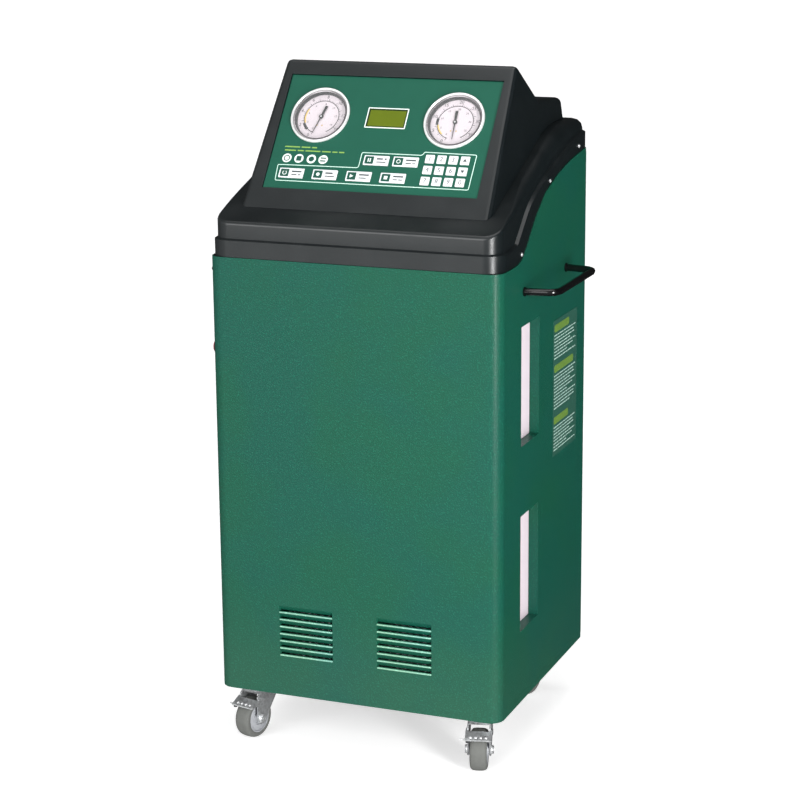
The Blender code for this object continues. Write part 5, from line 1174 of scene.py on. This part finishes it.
@dataclass
class Caster(Assembly):
    """One swivel caster: plate, fork, wheel and, in front, a brake pedal."""

    name: str
    x: float
    y: float
    heading: float
    braked: bool
    trail: float = 0.0220
    radius: float = 0.0350
    half: float = 0.0140
    fork_half: float = 0.0195
    screw_reach: float = 0.0238
    screw_level: float = 0.0917

    def _swivel(self) -> Matrix:
        """Placement of the swivel axis, turned to the caster's heading."""
        return spot(self.x, self.y) @ Matrix.Rotation(radians(self.heading), 4, "Z")

    def build(self) -> None:
        """Builds and dresses the pieces."""
        name = self.name
        self.skin(f"{name}_caster_plate", ZINC, 32.0, 0.0003)
        self.skin(f"{name}_caster_fork", ZINC, 30.0, 0.0005)
        self._wheel()
        self._bolts()
        if self.braked:
            self._brake()

    def _wheel(self) -> None:
        """Crowned tread on a stepped hub."""
        axle = self._swivel() @ spot(0, -self.trail, self.radius) @ Matrix.Rotation(pi / 2, 4, "Y")
        half, radius = self.half, self.radius
        body = f"{self.name}_wheel_body"
        near = [
            (0.0252, half - 0.0008), (0.0262, half), (0.0298, half), (0.0318, half - 0.0008),
            (0.0334, half - 0.0026), (0.0344, half - 0.0052), (0.0349, half - 0.0090),
        ]
        tread = near + [(radius, 0.0)] + [(r, -z) for r, z in reversed(near)]
        self.piece(
            f"{self.name}_tread", Shape.turned(tread, 72, closed=True).at(axle), TREAD, body,
            (f"{self.name}_wheel",), 45.0,
        )
        side = [
            (0.0044, half + 0.0022), (0.0090, half + 0.0022), (0.0096, half + 0.0016),
            (0.0098, half - 0.0034), (0.0122, half - 0.0036), (0.0132, half - 0.0026),
            (0.0190, half - 0.0026), (0.0200, half - 0.0036), (0.0228, half - 0.0036),
            (0.0236, half - 0.0022), (0.0240, half - 0.0004), (0.0251, half - 0.0004),
        ]
        hub = side + [(r, -z) for r, z in reversed(side)]
        hub_shape = Shape.turned(hub, 64, closed=True).at(axle)
        self.piece(f"{self.name}_hub", hub_shape, HUB, body, crease=45.0)

    def _bolts(self) -> None:
        """Axle bolt and nut on the fork, and four screws under the plate."""
        head = Fastener(Screw.PAN, 0.0074, 0.0044)
        bolts = Shape()
        for side in (-1, 1):
            out = (side, 0, 0)
            place = facing((side * self.fork_half, -self.trail, self.radius), out, (0, 0, 1))
            bolts.join(head.shape().at(self._swivel() @ place))
        self.piece(f"{self.name}_axle_bolt", bolts, STEEL, f"{self.name}_fork")
        screws = Shape()
        for across in (-1, 1):
            for along in (-1, 1):
                x, y = self.x + across * self.screw_reach, self.y + along * self.screw_reach
                place = facing((x, y, self.screw_level), (0, 0, -1), (0, 1, 0))
                screws.join(Fastener(Screw.HEX, 0.0046, 0.0030).shape().at(place))
        self.piece(f"{self.name}_plate_screws", screws, STEEL)

    def _brake(self) -> None:
        """Pressed pedal with its dimples and a black toe lever."""
        body = f"{self.name}_brake"
        self.skin(f"{self.name}_brake_pedal", ZINC, 30.0, 0.0004)
        slope = Vector((0, -0.0170, -0.0087)).normalized()
        out = Vector((0, slope.z, -slope.y)).normalized()
        plate = self._swivel() @ facing((0, -0.0435, 0.06685), out, -slope)
        dimples = Shape()
        dome = (
            (0.0, 0.0012), (0.0012, 0.0010), (0.0022, 0.0004), (0.0025, 0.0), (0.0, -0.0004),
        )
        for across in (-0.0125, -0.0042, 0.0042, 0.0125):
            dimples.join(Shape.turned(dome, 24).at(plate @ spot(across, -0.0035)))
        self.piece(f"{self.name}_pedal_dimples", dimples, STEEL, body)
        block = Shape.plate(0.0052, 0.0100, 0.0080, 0.0010).soft(0.0008, 2)
        block.at(self._swivel() @ spot(-0.0180, -0.0445, 0.0560))
        self.piece(f"{self.name}_toe_block", block, BLACK_STEEL, body)
        rod = Shape.disc(0.0012, 0.0100, 16).soft(0.0004, 2)
        rod.at(self._swivel() @ facing((-0.0204, -0.0455, 0.0605), (-1, 0, 0), (0, 0, 1)))
        self.piece(f"{self.name}_toe_rod", rod, STEEL, body)


@dataclass
class RearDoor(Assembly):
    """Rear door and its quarter-turn lock."""

    def build(self) -> None:
        """Builds and dresses the pieces."""
        self.skin("rear_door", GREEN, 30.0)
        self.skin("door_lock", ZINC, 30.0, 0.0003)


@dataclass
class Machinery(Assembly):
    """What the cabinet holds, seen when the door is open."""

    def build(self) -> None:
        """Builds and dresses the pieces."""
        self.skin("refrigerant_tank", TANK, 35.0)
        self.skin("scale_platform", ALUMINIUM, edge=0.0004)
        self.skin("compressor", BLACK_STEEL, 35.0)
        self.skin("vacuum_pump", ALUMINIUM, 35.0)
        self.skin("filter_drier", COPPER, 35.0)
        self.skin("condenser_fan", BLACK_STEEL, 25.0)
        self.coat("condenser", FINS)


@dataclass(frozen=True)
class Lamp:
    """A soft light aimed at the machine: a sun when it has no size."""

    name: str
    place: tuple[float, float, float]
    power: float
    size: tuple[float, float] | None = None
    spread: float = 50.0
    aim: tuple[float, float, float] = (0.0, 0.0, 0.6)

    def build(self) -> None:
        """Makes the lamp."""
        lamp = bpy.data.lights.new(self.name, "AREA" if self.size else "SUN")
        lamp.energy = self.power
        if self.size:
            lamp.shape = "RECTANGLE"
            lamp.size, lamp.size_y = self.size
        else:
            lamp.angle = radians(self.spread)
        item = add_object(self.name, lamp)
        way = Vector(self.aim) - Vector(self.place)
        turn = way.to_track_quat("-Z", "Y").to_matrix().to_4x4()
        item.matrix_world = Matrix.Translation(self.place) @ turn


@dataclass
class Studio:
    """Pale floor, soft lights and the camera."""

    camera_place: tuple[float, float, float] = (1.37834, -3.47177, 1.50806)
    lens: float = 102.55
    floor_width: float = 160.0
    floor_drop: float = 0.0004
    down: float = 14.23
    round_to: float = 21.77
    roll: float = -0.49
    bright_side: tuple[float, float, float] = (-0.50, -0.84, 0.20)
    sky: tuple[tuple[float, float], ...] = ((0.0, 0.02), (0.42, 0.04), (0.78, 0.30), (1.0, 0.80))
    lamps: tuple[Lamp, ...] = (
        Lamp("overhead_sun", (0.0, -0.3, 6.0), 1.0),
        Lamp("key_sun", (-1.1, -4.0, 1.7), 1.35, spread=40.0),
        Lamp("right_strip", (2.3, -1.95, 0.9), 92.0, (0.55, 1.7)),
    )

    def build(self) -> None:
        """Sets the stage."""
        self._floor()
        self._surround()
        for lamp in self.lamps:
            lamp.build()
        self._camera()

    def _floor(self) -> None:
        """Wide pale floor with light of its own, which shiny surfaces don't mirror."""
        shape = Shape.card(self.floor_width, self.floor_width)
        shape.at(spot(0, 0, -self.floor_drop))
        floor = add_object("studio_floor", shape.mesh("studio_floor", 30.0))
        graph = Graph("studio_floor_paint")
        floor.data.materials.append(
            graph.surface(
                (0.90, 0.90, 0.90), 0.7, Specular_IOR_Level=0.1,
                Emission_Color=(1.0, 1.0, 1.0, 1.0), Emission_Strength=0.55,
            )
        )
        floor.visible_glossy = False

    def _surround(self) -> None:
        """Surround that is bright on the lit side and dim behind, and a view without toning."""
        world = bpy.data.worlds.new("studio_surround")
        bpy.context.scene.world = world
        world.use_nodes = True
        nodes, links = world.node_tree.nodes, world.node_tree.links
        way = nodes.new("ShaderNodeTexCoord")
        toward = nodes.new("ShaderNodeVectorMath")
        toward.operation = "DOT_PRODUCT"
        toward.inputs[1].default_value = self.bright_side
        level = nodes.new("ShaderNodeMapRange")
        level.inputs["From Min"].default_value = -1.0
        ramp = nodes.new("ShaderNodeValToRGB")
        stops = ramp.color_ramp.elements
        for index, (position, grey) in enumerate(self.sky):
            stop = stops[index] if index < 2 else stops.new(position)
            stop.position, stop.color = position, (grey, grey, grey, 1)
        links.new(way.outputs["Generated"], toward.inputs[0])
        links.new(toward.outputs["Value"], level.inputs["Value"])
        links.new(level.outputs["Result"], ramp.inputs[0])
        links.new(ramp.outputs["Color"], nodes["Background"].inputs["Color"])
        view = bpy.context.scene.view_settings
        view.view_transform, view.look = "Standard", "None"

    def _camera(self) -> None:
        """Camera at the photograph's viewing angle."""
        turn, fall, lean = radians(self.round_to), radians(self.down), radians(self.roll)
        ahead = Vector((-sin(turn) * cos(fall), cos(turn) * cos(fall), -sin(fall)))
        right = Vector((cos(turn), sin(turn), 0))
        up = right.cross(ahead)
        right, up = right * cos(lean) + up * sin(lean), up * cos(lean) - right * sin(lean)
        data = bpy.data.cameras.new("camera")
        data.lens, data.sensor_width = self.lens, 36.0
        camera = add_object("camera", data)
        axes = Matrix((right, up, -ahead)).transposed().to_4x4()
        camera.matrix_world = Matrix.Translation(self.camera_place) @ axes
        bpy.context.scene.camera = camera


LOW_FIGURES = tuple((str(value), 205 + 40 * index) for index, value in enumerate(range(0, 16, 2)))
HIGH_FIGURES = tuple((str(value), 205 + 40 * index) for index, value in enumerate(range(0, 40, 5)))


def main() -> None:
    """Builds every sub-assembly in order and reports it."""
    logging.basicConfig(level=logging.INFO, format="%(message)s")
    parts: dict[str, Assembly] = {
        "cabinet": Cabinet(),
        "cover": Cover(),
        "control panel": ControlPanel(),
        "low gauge": Gauge("low", -0.1163, 195.5, (220, 246), (246, 300), LOW_FIGURES),
        "high gauge": Gauge("high", 0.1163, 177.5, (260, 282), (220, 260), HIGH_FIGURES),
        "keypad": KeyPad(),
        "side fittings": SideFittings(),
        "front left caster": Caster("front_left", -0.199, -0.174, -13.0, True),
        "front right caster": Caster("front_right", 0.199, -0.174, 15.0, True),
        "rear left caster": Caster("rear_left", -0.1735, 0.174, 24.0, False),
        "rear right caster": Caster("rear_right", 0.1735, 0.174, -14.0, False),
        "rear door": RearDoor(),
        "machinery": Machinery(),
    }
    for title, part in parts.items():
        part.build()
        LOG.info("%s: %s", title, ", ".join(item.name for item in part.pieces))
    Studio().build()


if __name__ == "__main__":
    main()
